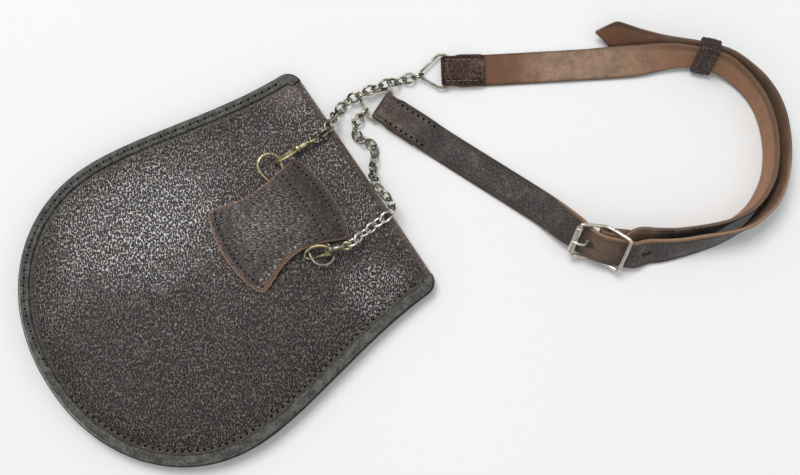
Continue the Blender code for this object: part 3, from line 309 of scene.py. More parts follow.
def spline(points, spacing):
    """Points about `spacing` apart on a centripetal curve through `points`."""
    points = [Vector(p) for p in points]
    ends = [points[0] * 2 - points[1], *points, points[-1] * 2 - points[-2]]
    result = []
    for p0, p1, p2, p3 in zip(ends, ends[1:], ends[2:], ends[3:]):
        t1 = max((p1 - p0).length, 1e-6) ** 0.5
        t2 = t1 + max((p2 - p1).length, 1e-6) ** 0.5
        t3 = t2 + max((p3 - p2).length, 1e-6) ** 0.5
        steps = max(1, round((p2 - p1).length / spacing))
        for step in range(steps):
            t = t1 + (t2 - t1) * step / steps
            middle = between(p1, p2, t1, t2, t)
            early = between(between(p0, p1, 0.0, t1, t), middle, 0.0, t2, t)
            late = between(middle, between(p2, p3, t2, t3, t), t1, t3, t)
            result.append(between(early, late, t1, t2, t))
    result.append(points[-1].copy())
    return result


def walked(path):
    """How far each point of a path lies from its start."""
    reach = [0.0]
    for a, b in zip(path, path[1:]):
        reach.append(reach[-1] + (b - a).length)
    return reach


def at_distances(path, distances):
    """Points of a polyline at the given distances from its start."""
    found = []
    index = 0
    travelled = 0.0
    for distance in distances:
        length = (path[index + 1] - path[index]).length
        while travelled + length < distance and index < len(path) - 2:
            travelled += length
            index += 1
            length = (path[index + 1] - path[index]).length
        found.append(path[index].lerp(path[index + 1], (distance - travelled) / length))
    return found


def loft(rings, closed_path=False):
    """Vertices and faces of a tube through equal rings of points."""
    size = len(rings[0])
    count = len(rings)
    faces = []
    for i in range(count if closed_path else count - 1):
        here, there = i * size, (i + 1) % count * size
        for j in range(size):
            k = (j + 1) % size
            faces.append((here + j, here + k, there + k, there + j))
    if not closed_path:
        faces.append(tuple(range(size))[::-1])
        faces.append(tuple(range((count - 1) * size, count * size)))
    return [point for ring in rings for point in ring], faces


def wire(path, radius, sides, first_side, closed_path=False):
    """A round wire along a path; radius is a number or one for each point."""
    count = len(path)
    rings = []
    side = Vector(first_side)
    for i, point in enumerate(path):
        if closed_path:
            along = path[(i + 1) % count] - path[i - 1]
        else:
            along = path[min(i + 1, count - 1)] - path[max(i - 1, 0)]
        along.normalize()
        side = (side - along * side.dot(along)).normalized()
        other = along.cross(side)
        size = radius[i] if isinstance(radius, list) else radius
        rings.append([point + side * a + other * b for a, b in oval(size, size, sides)])
    return loft(rings, closed_path)


def softened(path, rounds=2):
    """Cuts a closed path's corners, a quarter of each stretch at a time."""
    for _ in range(rounds):
        path = [a.lerp(b, share) for a, b in zip(path, path[1:] + path[:1]) for share in (0.25, 0.75)]
    return path


def sew(name, threads, look, radius, slot):
    """Short threads, each from (start, end, up); their ends go into the leather."""
    points, faces = [], []
    for start, end, up in threads:
        route, radii = [], []
        for k in range(7):
            t = k / 6
            height = 0.30 * (1 - (2 * t - 1) ** 4) - 0.22
            route.append(start.lerp(end, t) + up * height)
            radii.append(radius * (0.62 + 0.38 * math.sin(math.pi * t)))
        more, loops = wire(route, radii, 6, up)
        faces += [tuple(len(points) + i for i in loop) for loop in loops]
        points += more
    simple(name, (points, faces), look, slot, angle=70)


# ------------------------------------------------------------------ materials


class Nodes:
    """Short calls for one material's nodes; an input is a number or a socket."""

    def __init__(self, name):
        self.material = bpy.data.materials.new(name)
        self.material.use_nodes = True
        self.tree = self.material.node_tree
        self.shader = self.tree.nodes["Principled BSDF"]

    def feed(self, socket, value):
        if isinstance(value, bpy.types.NodeSocket):
            self.tree.links.new(value, socket)
        elif hasattr(socket.default_value, "__len__") and len(socket.default_value) == 4:
            socket.default_value = (*value, 1.0)
        else:
            socket.default_value = value

    def add(self, kind, inputs, **settings):
        node = self.tree.nodes.new("ShaderNode" + kind)
        for key, value in settings.items():
            setattr(node, key, value)
        for socket, value in inputs.items():
            self.feed(node.inputs[socket], value)
        return node.outputs

    def attribute(self, name):
        return self.add("Attribute", {}, attribute_name=name)["Vector"]

    def split(self, vector):
        return tuple(self.add("SeparateXYZ", {0: vector}))

    def maths(self, operation, *values):
        return self.add("Math", dict(enumerate(values)), operation=operation)[0]

    def plus(self, first, second):
        return self.maths("ADD", first, second)

    def minus(self, first, second):
        return self.maths("SUBTRACT", first, second)

    def times(self, first, second):
        return self.maths("MULTIPLY", first, second)

    def vector_maths(self, operation, first, second):
        return self.add("VectorMath", {0: first, 1: second}, operation=operation)[0]

    def scaled(self, vector, factors):
        return self.vector_maths("MULTIPLY", vector, factors)

    def turned(self, vector, degrees):
        inputs = {"Vector": vector, "Angle": math.radians(degrees)}
        return self.add("VectorRotate", inputs, rotation_type="Z_AXIS")[0]

    def noise(self, vector, scale, detail=2.0, roughness=0.5, output="Fac"):
        inputs = {"Vector": vector, "Scale": scale, "Detail": detail, "Roughness": roughness}
        return self.add("TexNoise", inputs)[output]

    def warped(self, vector, scale, amount):
        """The place, pushed about by a noise of the given scale."""
        push = self.noise(vector, scale, 1.0, 0.5, "Color")
        push = self.vector_maths("SUBTRACT", push, (0.5, 0.5, 0.5))
        return self.vector_maths("ADD", vector, self.scaled(push, (amount, amount, amount)))

    def cells(self, vector, randomness=1.0):
        inputs = {"Vector": vector, "Scale": 1.0, "Randomness": randomness}
        return self.add("TexVoronoi", inputs, feature="F1", voronoi_dimensions="2D")["Distance"]

    def fade(self, value, low, high, to_low=0.0, to_high=1.0):
        inputs = {"Value": value, 1: low, 2: high, 3: to_low, 4: to_high}
        return self.add("MapRange", inputs, interpolation_type="SMOOTHSTEP")["Result"]

    def blend(self, share, first, second):
        return self.add("Mix", {"Factor": share, 6: first, 7: second}, data_type="RGBA")[2]

    def coats(self, colour, *coats):
        """A colour under coats of (share, colour)."""
        for share, coat in coats:
            colour = self.blend(share, colour, coat)
        return colour

    def bump(self, height, distance):
        """Height in shares of the distance, which is in millimetres."""
        return self.add("Bump", {"Height": height, "Distance": distance * MM, "Strength": 1.0})["Normal"]

    def finish(self, colour, roughness, normal, **others):
        sockets = {"Base Color": colour, "Roughness": roughness, "Normal": normal}
        sockets.update((name.replace("_", " "), value) for name, value in others.items())
        for name, value in sockets.items():
            self.feed(self.shader.inputs[name], value)
        return self.material

    def stitch_holes(self, pitch, inside=0.50, outside=0.95):
        """1 in the needle holes of a seam, from its (along, from row) attribute."""
        along, away, _ = self.split(self.attribute("seam"))
        step = self.minus(self.maths("FRACT", self.maths("DIVIDE", along, pitch)), 0.5)
        step = self.times(step, pitch)
        radius = self.maths("SQRT", self.plus(self.times(step, step), self.times(away, away)))
        return self.fade(radius, inside, outside, 1.0, 0.0)


HOLE_DARK = (0.002, 0.0015, 0.0015)  # painted shade inside a needle hole, which the mesh does not cut


def grained_leather(
    name, dark, middle, light, worn, *, cell, depth, gloss, glint_flecks, pitch, regular, contrast,
    stretch=1.35, turn=0.0, shine=0.5, pitted=(0.38, 0.52), ridged=(0.54, 0.70), hole=(0.50, 0.95), quiet=0.0,
):  # fmt: skip
    """Dark hide: pits and pale ridges in its grain, dusty smudges and worn places.

    cell and stretch size the grain, in millimetres and as a ratio, and turn is its
    run; pitted and ridged say where the grain's noise makes pits and ridges; contrast
    is how dark and how pale they look; quiet is what the ridges lose without bloom.
    The pale ridges and the flecks are partly painted glints, and the bloom mark also
    paints sheen onto the ridges.
    """
    n = Nodes(name)
    spot = n.attribute("spot")
    wear, shade, bloom_and_sheen = n.split(n.attribute("marks"))
    run = n.turned(spot, turn)
    grain_run = n.scaled(run, (1.0 / cell, 1.0 / (cell * stretch), 1.0 / cell))
    streaks = n.noise(grain_run, 1.7, 2.0, 0.55)
    cells = n.cells(n.warped(grain_run, 0.9, 0.30), 0.9)
    grain = n.plus(n.times(n.minus(cells, 0.45), regular), streaks)
    calm = n.minus(1.0, n.times(wear, 0.55))
    calm = n.maths("MAXIMUM", n.minus(calm, n.times(shade, 1.2)), 0.15)
    pits = n.times(n.fade(grain, *pitted, 1.0, 0.0), calm)
    ridges = n.times(n.fade(grain, *ridged), calm)
    fine = n.noise(spot, 1.5, 3.0, 0.6)
    broad = n.noise(spot, 0.045, 3.0, 0.55)
    dust = n.fade(n.noise(spot, 0.085, 4.0, 0.62), 0.50, 0.72)
    rusty = n.fade(n.noise(spot, 0.07, 3.0, 0.6), 0.55, 0.75)
    # Pale flecks: painted glints where the grain's ridges would catch the light
    fleck = n.cells(n.warped(n.scaled(run, (0.58, 0.27, 0.4)), 0.8, 0.7))
    fleck = n.times(n.fade(fleck, 0.08, 0.20, 1.0, 0.0), n.fade(n.noise(spot, 0.3, 2.0, 0.6), 0.40, 0.58))
    # Ridge colour: pale grey where bloom paints sheen, tan where worn
    crest_and_sheen = n.coats(light, (bloom_and_sheen, (0.62, 0.60, 0.58)), (n.times(wear, 0.8), worn))
    lit = n.times(n.times(ridges, contrast[1]), n.fade(bloom_and_sheen, 0.0, 0.7, 1.0 - quiet, 1.0))
    holes = n.stitch_holes(pitch, *hole)
    colour = n.coats(
        dark,
        (broad, middle),
        (n.times(dust, 0.45), light),
        (n.times(rusty, 0.35), worn),
        (n.times(bloom_and_sheen, 0.26), light),
        (n.times(wear, n.fade(fine, 0.25, 0.65, 0.55, 1.0)), worn),
        (lit, crest_and_sheen),
        (n.times(pits, contrast[0]), (0.005, 0.004, 0.0035)),
        (n.times(fleck, 0.75 * glint_flecks), (0.30, 0.28, 0.26)),
        (shade, (0.010, 0.008, 0.007)),
        (holes, HOLE_DARK),
    )
    height = n.plus(n.minus(n.times(fine, 0.34), pits), n.times(ridges, 0.6))
    height = n.minus(height, n.times(holes, 1.6))
    dull = n.plus(n.fade(fine, 0.2, 0.8, gloss - 0.06, gloss + 0.08), n.times(pits, 0.25))
    dull = n.plus(dull, n.times(shade, 0.45))
    sunk = n.maths("MAXIMUM", n.times(holes, 0.9), n.times(pits, 0.45))
    level = n.times(shine, n.minus(1.0, sunk))
    return n.finish(colour, dull, n.bump(height, depth), Specular_IOR_Level=level)


def flesh_leather(name, dark, light, warm):
    """The brushed, mottled inner side of a hide."""
    n = Nodes(name)
    spot = n.attribute("spot")
    wear, shade, glow = n.split(n.attribute("marks"))
    mottle = n.noise(spot, 0.16, 6.0, 0.72)
    fibre = n.noise(n.scaled(spot, (0.5, 1.3, 1.0)), 1.3, 5.0, 0.75)
    spots = n.fade(n.noise(spot, 0.42, 4.0, 0.7), 0.56, 0.68)
    colour = n.coats(
        dark,
        (n.fade(mottle, 0.30, 0.70), light),
        (n.fade(fibre, 0.35, 0.70, 0.0, 0.5), n.blend(0.45, light, (0.42, 0.38, 0.30))),
        (n.times(glow, n.fade(mottle, 0.25, 0.75, 0.6, 1.0)), (0.36, 0.165, 0.082)),
        (wear, warm),
        (n.times(spots, 0.5), dark),
        (shade, (0.020, 0.012, 0.009)),
    )
    height = n.plus(n.times(fibre, 0.8), n.times(mottle, 0.6))
    return n.finish(colour, n.fade(fibre, 0.2, 0.8, 0.72, 0.88), n.bump(height, 0.28))


def cut_edge(name, dark, light):
    """A hide's cut edge: burnished, with faint lengthwise fibres."""
    n = Nodes(name)
    spot = n.attribute("spot")
    wear, _, _ = n.split(n.attribute("marks"))
    fibre = n.noise(n.scaled(spot, (0.4, 3.0, 3.0)), 1.4, 4.0, 0.65)
    patch = n.noise(spot, 0.13, 3.0, 0.6)
    share = n.plus(n.fade(patch, 0.35, 0.65, 0.0, 0.15), n.times(wear, 0.85))
    fleck = n.times(n.fade(fibre, 0.45, 0.75, 0.0, 0.55), n.fade(share, 0.0, 0.5, 0.25, 1.0))
    colour = n.coats(dark, (share, light), (fleck, n.blend(0.4, light, (0.6, 0.45, 0.32))))
    return n.finish(colour, n.fade(fibre, 0.2, 0.8, 0.5, 0.7), n.bump(fibre, 0.22))


def binding_finish(name):
    """Smooth dark strip: faint creases, stitch holes, rubbed grey and a painted highlight line along its
    crown, painted shade where marked.
    """
    n = Nodes(name)
    spot = n.attribute("spot")
    wear, shade, _ = n.split(n.attribute("marks"))
    fine = n.noise(n.scaled(spot, (0.8, 1.0, 1.0)), 0.9, 4.0, 0.68)
    broad = n.noise(spot, 0.06, 3.0, 0.6)
    mottle = n.noise(n.scaled(spot, (0.7, 1.0, 1.0)), 0.22, 4.0, 0.66)
    rub = n.fade(n.noise(spot, 0.28, 4.0, 0.7), 0.38, 0.62)
    holes = n.stitch_holes(RIM_PITCH, 0.42, 0.88)
    colour = n.coats(
        (0.016, 0.014, 0.012),
        (n.fade(broad, 0.35, 0.65), (0.033, 0.029, 0.024)),
        (n.fade(mottle, 0.44, 0.64, 0.0, 0.85), (0.092, 0.092, 0.081)),
        (n.fade(fine, 0.48, 0.64, 0.0, 0.60), (0.130, 0.127, 0.112)),
        (n.fade(fine, 0.32, 0.44, 0.75, 0.0), (0.007, 0.006, 0.005)),
        # Rubbed grey and the painted highlight line along the crown
        (n.times(wear, n.fade(rub, 0.0, 1.0, 0.6, 1.0)), (0.38, 0.37, 0.34)),
        (shade, (0.006, 0.005, 0.0045)),
        (holes, HOLE_DARK),
    )
    dull = n.plus(n.fade(fine, 0.2, 0.8, 0.44, 0.62), n.times(shade, 0.35))
    level = n.minus(0.36, n.times(n.maths("MAXIMUM", shade, holes), 0.33))
    height = n.minus(n.plus(fine, mottle), n.times(holes, 1.2))
    return n.finish(colour, dull, n.bump(height, 0.26), Specular_IOR_Level=level)


def thread_finish(name, colour):
    n = Nodes(name)
    twist = n.noise(n.scaled(n.attribute("spot"), (4.0, 4.0, 4.0)), 1.0, 2.0, 0.5)
    tint = n.blend(twist, tuple(c * 0.6 for c in colour), tuple(min(1.0, c * 1.4) for c in colour))
    return n.finish(tint, n.fade(twist, 0.3, 0.7, 0.6, 0.8), n.bump(twist, 0.15))


def worn_metal(name, bright, dull, dirt, gloss, tarnish=0.5, dents=0.12):
    """Handled metal: bright where it rubs, duller and stained between."""
    n = Nodes(name)
    spot = n.attribute("spot")
    patch = n.noise(n.warped(spot, 0.3, 1.2), 0.32, 4.0, 0.62)
    stain = n.fade(n.noise(spot, 0.85, 4.0, 0.7), 0.50, 0.68)
    scratch = n.noise(n.scaled(spot, (1.0, 6.0, 1.0)), 1.5, 2.0, 0.6)
    dulled = n.fade(patch, tarnish - 0.16, tarnish + 0.16)
    colour = n.coats(bright, (dulled, dull), (n.times(stain, 0.7), dirt))
    roughness = n.plus(n.fade(patch, 0.3, 0.7, gloss, gloss + 0.16), n.times(stain, 0.2))
    metallic = n.minus(1.0, n.times(stain, 0.35))
    height = n.plus(n.times(scratch, 0.4), patch)
    return n.finish(colour, roughness, n.bump(height, dents), Metallic=metallic)


# fmt: off
finishes = {
    # dark, middle, light, worn; then the grain
    "pouch": grained_leather(
        "pouch_leather_look", (0.033, 0.023, 0.019), (0.067, 0.048, 0.040), (0.165, 0.145, 0.132),
        (0.085, 0.043, 0.029), cell=1.0, depth=0.42, gloss=0.29, stretch=1.7, turn=-62.0, glint_flecks=1.3,
        shine=0.82, pitch=RIM_PITCH, hole=(0.52, 0.95), regular=0.55, pitted=(0.37, 0.49),
        ridged=(0.52, 0.61), contrast=(1.0, 0.85), quiet=0.55),
    "tab": grained_leather(
        "tab_leather_look", (0.032, 0.022, 0.018), (0.058, 0.043, 0.037), (0.175, 0.155, 0.145),
        (0.150, 0.079, 0.045), cell=1.15, depth=0.26, gloss=0.42, stretch=2.6, turn=28.0, glint_flecks=0.5,
        pitch=TAB_PITCH, hole=(0.30, 0.72), regular=0.15, pitted=(0.36, 0.47), ridged=(0.53, 0.61),
        contrast=(0.60, 0.66)),
    "strap": grained_leather(
        "strap_leather_look", (0.024, 0.018, 0.016), (0.043, 0.034, 0.031), (0.175, 0.155, 0.142),
        (0.27, 0.150, 0.085), cell=1.0, depth=0.10, gloss=0.42, stretch=1.6, turn=20.0, glint_flecks=0.35,
        shine=0.40, pitch=TAIL_PITCH, hole=(0.55, 1.0), regular=0.3, contrast=(0.28, 0.14)),
    "patch": grained_leather(
        "patch_look", (0.018, 0.008, 0.005), (0.050, 0.021, 0.012), (0.092, 0.056, 0.040),
        (0.125, 0.055, 0.026), cell=2.6, depth=0.10, gloss=0.44, stretch=1.5, glint_flecks=0.4,
        pitch=PATCH_PITCH, shine=0.26, regular=0.2, contrast=(0.35, 0.10)),
    "keeper": grained_leather(
        "keeper_leather_look", (0.020, 0.011, 0.009), (0.042, 0.023, 0.018), (0.110, 0.085, 0.072),
        (0.080, 0.036, 0.026), cell=1.1, depth=0.18, gloss=0.46, glint_flecks=0.6, pitch=2.6, shine=0.32,
        regular=0.3, contrast=(0.5, 0.35)),
    "binding": binding_finish("binding_look"),
    # dark, light, warm
    "pouch_flesh": flesh_leather(
        "pouch_flesh_look", (0.10, 0.055, 0.032), (0.22, 0.14, 0.09), (0.26, 0.13, 0.06)),
    "strap_flesh": flesh_leather(
        "strap_flesh_look", (0.135, 0.078, 0.050), (0.31, 0.195, 0.125), (0.13, 0.050, 0.021)),
    # dark, light
    "pouch_edge": cut_edge("pouch_edge_look", (0.030, 0.020, 0.016), (0.075, 0.045, 0.030)),
    "tab_edge": cut_edge("tab_edge_look", (0.10, 0.048, 0.030), (0.36, 0.21, 0.14)),
    "strap_edge": cut_edge("strap_edge_look", (0.045, 0.027, 0.018), (0.34, 0.200, 0.110)),
}
THREADS = {
    "thread": (0.010, 0.008, 0.007), "rim_thread": (0.17, 0.145, 0.125), "tab_thread": (0.075, 0.062, 0.050),
    "pale_thread": (0.20, 0.17, 0.13),
}
METALS = {
    # material, bright, dull, dirt, gloss, tarnish, dents
    "brass": ("old_brass", (0.68, 0.59, 0.35), (0.30, 0.25, 0.13), (0.050, 0.040, 0.020), 0.22, 0.48),
    "dull_brass": ("tarnished_brass", (0.36, 0.37, 0.28), (0.16, 0.165, 0.12), (0.045, 0.042, 0.028), 0.28),
    "dull_metal": ("dull_metal", (0.30, 0.29, 0.24), (0.13, 0.125, 0.10), (0.050, 0.045, 0.034), 0.36),
    "chain": ("chain_metal", (0.78, 0.74, 0.58), (0.10, 0.092, 0.064), (0.018, 0.016, 0.011), 0.17, 0.44),
    "triangle": (
        "triangle", (0.46, 0.42, 0.32), (0.17, 0.15, 0.105), (0.060, 0.050, 0.035), 0.26, 0.44, 0.05),
    "bright_chain": ("bright_chain", (0.92, 0.90, 0.86), (0.50, 0.48, 0.42), (0.10, 0.09, 0.07), 0.16, 0.56),
    "nickel": ("worn_nickel", (0.80, 0.76, 0.66), (0.54, 0.51, 0.42), (0.24, 0.21, 0.155), 0.22, 0.55, 0.05),
}
# fmt: on
for look, colour in THREADS.items():
    finishes[look] = thread_finish(look + "_look", colour)
for look, (material, *values) in METALS.items():
    finishes[look] = worn_metal(material + "_look", *values)


# ------------------------------------------------------------ pouch, own frame


def outline_side(steps_side, steps_bottom, inset, steps_corner=3):
    """Right half of the outline from the mouth corner to the bottom middle."""
    corner = CORNER_RADIUS
    points = []
    for k in range(steps_corner):
        angle = math.pi / 2 * (1 - k / steps_corner)
        x = MOUTH_HALF - corner + corner * math.cos(angle)
        points.append(Vector((x, -corner + corner * math.sin(angle))))
    start = Vector((MOUTH_HALF, -corner))
    end = Vector((WIDEST_HALF, -WIDEST_AT))
    handle_a = start + Vector((1.0, -SIDE_HANDLE_TOP))
    handle_b = end + Vector((0.0, SIDE_HANDLE_LOW))
    for k in range(steps_side):
        t = k / steps_side
        upper = start * (1 - t) ** 3 + handle_a * (3 * (1 - t) ** 2 * t)
        points.append(upper + handle_b * (3 * (1 - t) * t * t) + end * t**3)
    power = 2.0 / BOTTOM_POWER
    for k in range(steps_bottom + 1):
        angle = math.pi / 2 * k / steps_bottom
        x = WIDEST_HALF * max(math.cos(angle), 0.0) ** power
        points.append(Vector((x, -WIDEST_AT - (POUCH_LENGTH - WIDEST_AT) * math.sin(angle) ** power)))
    points[-1].x = 0.0
    last = len(points) - 1
    moved = []
    for k, point in enumerate(points):
        along = (points[min(k + 1, last)] - points[max(k - 1, 0)]).normalized()
        if k in (0, last):
            along = Vector((1.0 if k == 0 else -1.0, 0.0))
        moved.append(point - Vector((-along.y, along.x)) * inset)
    return moved


OUTER_SIDE = outline_side(24, 32, 0.0)
CREASE_SIDE = outline_side(24, 32, PANEL_INSET + RIM_FLAT + 0.8)
SWELL_POWER = 2.6  # how flat the filled middle of the pouch is
# The worn back: where a soft fold line runs, in the pouch frame, and its height
FOLD_LINE = (
    (-50.0, -203.0, 0.2), (-31.0, -171.0, 1.0), (-17.0, -152.0, 1.4), (-5.0, -136.5, 2.0),
    (-5.0, -122.0, 1.6), (-5.0, -108.0, 0.9),
)  # fmt: skip
# Worn spots on that line: place, size
RUBBED = (((-5.0, -137.0), 4.0), ((-3.0, -126.0), 3.0), ((-5.5, -110.0), 3.5))
# Where the ridges carry a grey bloom and painted sheen: place, radius, amount
BLOOM_AND_SHEEN = (
    ((-52.0, -118.0), 42.0, 0.75), ((-60.0, -150.0), 36.0, 0.70), ((60.0, -33.0), 20.0, 0.65),
    ((18.0, -14.0), 16.0, 0.25), ((-74.0, -84.0), 30.0, 0.40), ((-40.0, -190.0), 26.0, 0.30),
)  # fmt: skip
# The back's mesh: its rings' distances in from the edge, those between the last of
# them and the middle, and the steps across the mouth and round its fold
FINE_RINGS = (*range(13), *range(15, 61, 3), 62)
INNER_RINGS = 22
MOUTH_STEPS = 60
FOLD_STEPS = 22
FLAP_ROWS = 34


def half_width(y, side=OUTER_SIDE):
    """Half width at a place down the pouch, of its outline or of its crease."""
    if y >= side[0].y:
        return side[0].x
    for upper, lower in zip(side, side[1:]):
        if lower.y <= y < upper.y:
            return upper.x + (lower.x - upper.x) * (upper.y - y) / (upper.y - lower.y)
    return 0.0


def rim_height(y):
    """Height of the seam between the two panels."""
    return RIM_HEIGHT_MOUTH + (RIM_HEIGHT_LOW - RIM_HEIGHT_MOUTH) * smooth_step(-y / 120)


def swell(x, y):
    """Share of the full rise at a point, from 0 at the seam to 1 in the middle."""
    across = max(0.0, 1 - (abs(x) / max(half_width(y, CREASE_SIDE), 0.1)) ** SWELL_POWER)
    share = max(0.0, (-y - WIDEST_AT) / (-CREASE_SIDE[-1].y - WIDEST_AT))
    return across * max(0.0, 1 - share**SWELL_POWER)


def back_middle(x, y):
    mouth = BACK_CROWN_AT_MOUTH + (1 - BACK_CROWN_AT_MOUTH) * smooth_step(-y / 90)
    return rim_height(y) + (WALL / 2 + GAP / 2) + BACK_CROWN * mouth * swell(x, y)


def back_top(x, y):
    return back_middle(x, y) + WALL / 2


def front_middle(x, y):
    floor = WALL / 2 + (FLAP_REST - WALL / 2) * smooth_step((140 + y) / 24)
    seam = rim_height(y) - WALL / 2 - GAP / 2
    return min(seam, max(floor, seam - FRONT_SAG * swell(x, y)))


def flap_half(share):
    """Half width of the flap from the fold, 0, to its lower edge, 1."""
    return (half_width(0) - PANEL_INSET - 2.0) * (1 - share) + FLAP_HALF * share


def relief(x, y):
    """Rises and hollows of the used back, in millimetres; none under the tab."""
    spot = Vector((x, y))
    height = 0.55 * noise_at(x / 30, y / 24, 1.7) + 0.16 * noise_at(x / 9, y / 8, 6.1)
    nearest, rise = 1e9, 0.0
    for a, b in zip(FOLD_LINE, FOLD_LINE[1:]):
        start, end = Vector(a[:2]), Vector(b[:2])
        _, share = geometry.intersect_point_line(spot, start, end)
        share = min(1.0, max(0.0, share))
        away = (spot - start.lerp(end, share)).length
        if away < nearest:
            nearest, rise = away, a[2] + (b[2] - a[2]) * share
    height += rise * math.exp(-(math.sqrt(nearest * nearest + 1.0) - 1.0) / 13)
    inside_rim = smooth_step((half_width(y) - abs(x) - 8) / 14) * smooth_step((y + POUCH_LENGTH - 8) / 14)
    over = smooth_step((34 - abs(x)) / 5) * smooth_step((y + 100) / 5) * smooth_step((-y - 12) / 8)
    return height * inside_rim * (1 - over) * smooth_step((-y - 3) / 12)


def fine_outline(mouth_y):
    side = [p for p in outline_side(46, 62, PANEL_INSET) if p.y < mouth_y - 0.5]
    half = half_width(mouth_y) - PANEL_INSET - 2.0
    mouth = [Vector((half * (1 - 2 * k / MOUTH_STEPS), mouth_y)) for k in range(MOUTH_STEPS + 1)]
    left = [Vector((-p.x, p.y)) for p in side[:-1]]
    return mouth + left + [side[-1]] + side[:-1][::-1]


def fine_panel(outline, height):
    """A dished panel as close rings that step in from the outline."""
    vertices, faces = [], []
    size = len(outline)
    steps = [(distance, 0.0) for distance in FINE_RINGS]
    steps += [(FINE_RINGS[-1], k / INNER_RINGS) for k in range(1, INNER_RINGS)]
    for distance, share in steps:
        for point in outline:
            reach = (point - PANEL_CENTRE).length
            inward = distance + (reach - distance) * share
            spot = PANEL_CENTRE.lerp(point, 1 - inward / reach)
            vertices.append(xyz(*spot, height(*spot)))
    last = (len(steps) - 1) * size
    for here in range(0, last, size):
        for k in range(size):
            after = (k + 1) % size
            faces.append((here + k, here + after, here + size + after, here + size + k))
    vertices.append(xyz(*PANEL_CENTRE, height(*PANEL_CENTRE)))
    faces += [(last + k, last + (k + 1) % size, len(vertices) - 1) for k in range(size)]
    return vertices, faces


def back_marks(x, y):
    """Wear towards the mouth fold, its corners and the fold line's worn spots."""
    spot = Vector((x, y))
    ragged = noise_at(x / 6, y / 6, 3.3)
    wear = 0.75 * smooth_step((y + 7.5 + 3.5 * ragged) / 7)
    corner = max(0.0, 1 - (spot - Vector((-70, -10))).length / 20)
    wear = max(wear, 0.8 * smooth_step(corner * 1.4 + 0.3 * ragged))
    for place, size in RUBBED:
        away = (spot - Vector(place)).length
        wear = max(wear, 0.8 * smooth_step(1.3 - away / size + 0.4 * ragged))
    bloom_and_sheen = 0.0
    for place, size, amount in BLOOM_AND_SHEEN:
        away = (spot - Vector(place)).length / size
        bloom_and_sheen = max(bloom_and_sheen, amount * smooth_step(1.35 - away + 0.35 * noise_at(x / 14, y / 14, 9.0)))
    # Painted shade in the crease beside the binding, and grey bloom with painted sheen
    return wear, 0.55 * smooth_step((3.5 - panel_depth(x, y)) / 2.5), bloom_and_sheen


def panel_depth(x, y):
    """How far a place lies in from the binding's inner edge."""
    if -y < WIDEST_AT:
        return half_width(y) - abs(x) - STRIP_WIDTH
    reach = Vector((x, y + WIDEST_AT)).length
    if reach < 1e-3:
        return NO_SEAM
    share = (abs(x) / WIDEST_HALF) ** BOTTOM_POWER
    share += ((-y - WIDEST_AT) / (POUCH_LENGTH - WIDEST_AT)) ** BOTTOM_POWER
    return reach / max(share, 1e-6) ** (1 / BOTTOM_POWER) - reach - STRIP_WIDTH


def build_back_panel():
    """Back, mouth fold and front flap, cut from one piece of leather."""
    vertices, faces = fine_panel(fine_outline(-FOLD_DEPTH), lambda x, y: back_middle(x, y) + relief(x, y))
    marks = [back_marks(v.x, v.y) for v in vertices]
    spots = list(vertices)
    above = list(range(MOUTH_STEPS + 1))
    flap_middle = WALL / 2

    def add_row(row):
        """A row of (place, spot, mark) that carries on from the one above it."""
        first = len(vertices)
        for k, (place, spot, mark) in enumerate(row):
            vertices.append(place)
            spots.append(spot)
            marks.append(mark)
            if k:
                faces.append((above[k - 1], above[k], first + k, first + k - 1))
        above[:] = range(first, len(vertices))

    for step in range(1, FOLD_STEPS + 1):
        angle = math.pi * step / FOLD_STEPS
        row = []
        for top in vertices[: MOUTH_STEPS + 1]:
            half_rise = (top.z - flap_middle) / 2
            rounded = 3.2 * (1 - abs(math.cos(angle))) * smooth_step((abs(top.x) - 50) / 22)
            y = top.y + (FOLD_DEPTH - WALL / 2) * math.sin(angle)
            z = flap_middle + half_rise * (1 + math.cos(angle))
            place = xyz(top.x - math.copysign(rounded, top.x), y, z)
            row.append((place, xyz(top.x, top.y + angle * half_rise), (0.9, 0.0, 0.3)))
        add_row(row)
    for step in range(1, FLAP_ROWS + 1):
        share = step / FLAP_ROWS
        mark = (0.9 * (1 - smooth_step(share * 8)), 0.0, 0.2)
        row = []
        for k in range(MOUTH_STEPS + 1):
            across = 1 - 2 * k / MOUTH_STEPS
            low_end = FLAP_LENGTH - FLAP_ROUNDING * across * across
            place = xyz(across * flap_half(share), -FOLD_DEPTH - (low_end - FOLD_DEPTH) * share, flap_middle)
            row.append((place, xyz(place.x, 30.0 - place.y), mark))
        add_row(row)
    seams = rim_seams(vertices)
    obj = mesh_from("pouch_back", (vertices, faces), POUCH_LOOKS, POUCH, spots, marks, seams, side=1)
    add_wall(obj, WALL)
    piece(baked(obj, 60), node="back_panel")
    sew("rim_stitches", rim_threads(rim_stitch_places()), "rim_thread", 0.26, "pouch_leather")


POUCH_LOOKS = ("pouch", "pouch_flesh", "pouch_edge")


def rim_threads(places):
    """Threads between needle holes of the pouch frame that follow one another."""
    threads = []
    for a, b in zip(places, places[1:]):
        if (b - a).length < 1.5 * RIM_PITCH:
            threads.append((*(off_pouch(a.lerp(b, share)) for share in (0.22, 0.78)), UP))
    return threads


def rim_row(x):
    """How far in from the outer edge the rim's stitches lie: on the strip left
    of the middle, then on the panel beside it."""
    return 4.0 + 5.4 * smooth_step((x + 60) / 115)


def rim_reach():
    """The back's outline, and how far along it each point lies, from the mouth."""
    outline = fine_outline(-FOLD_DEPTH)
    reach = walked(outline)
    return outline, [max(0.0, distance - reach[MOUTH_STEPS]) for distance in reach]


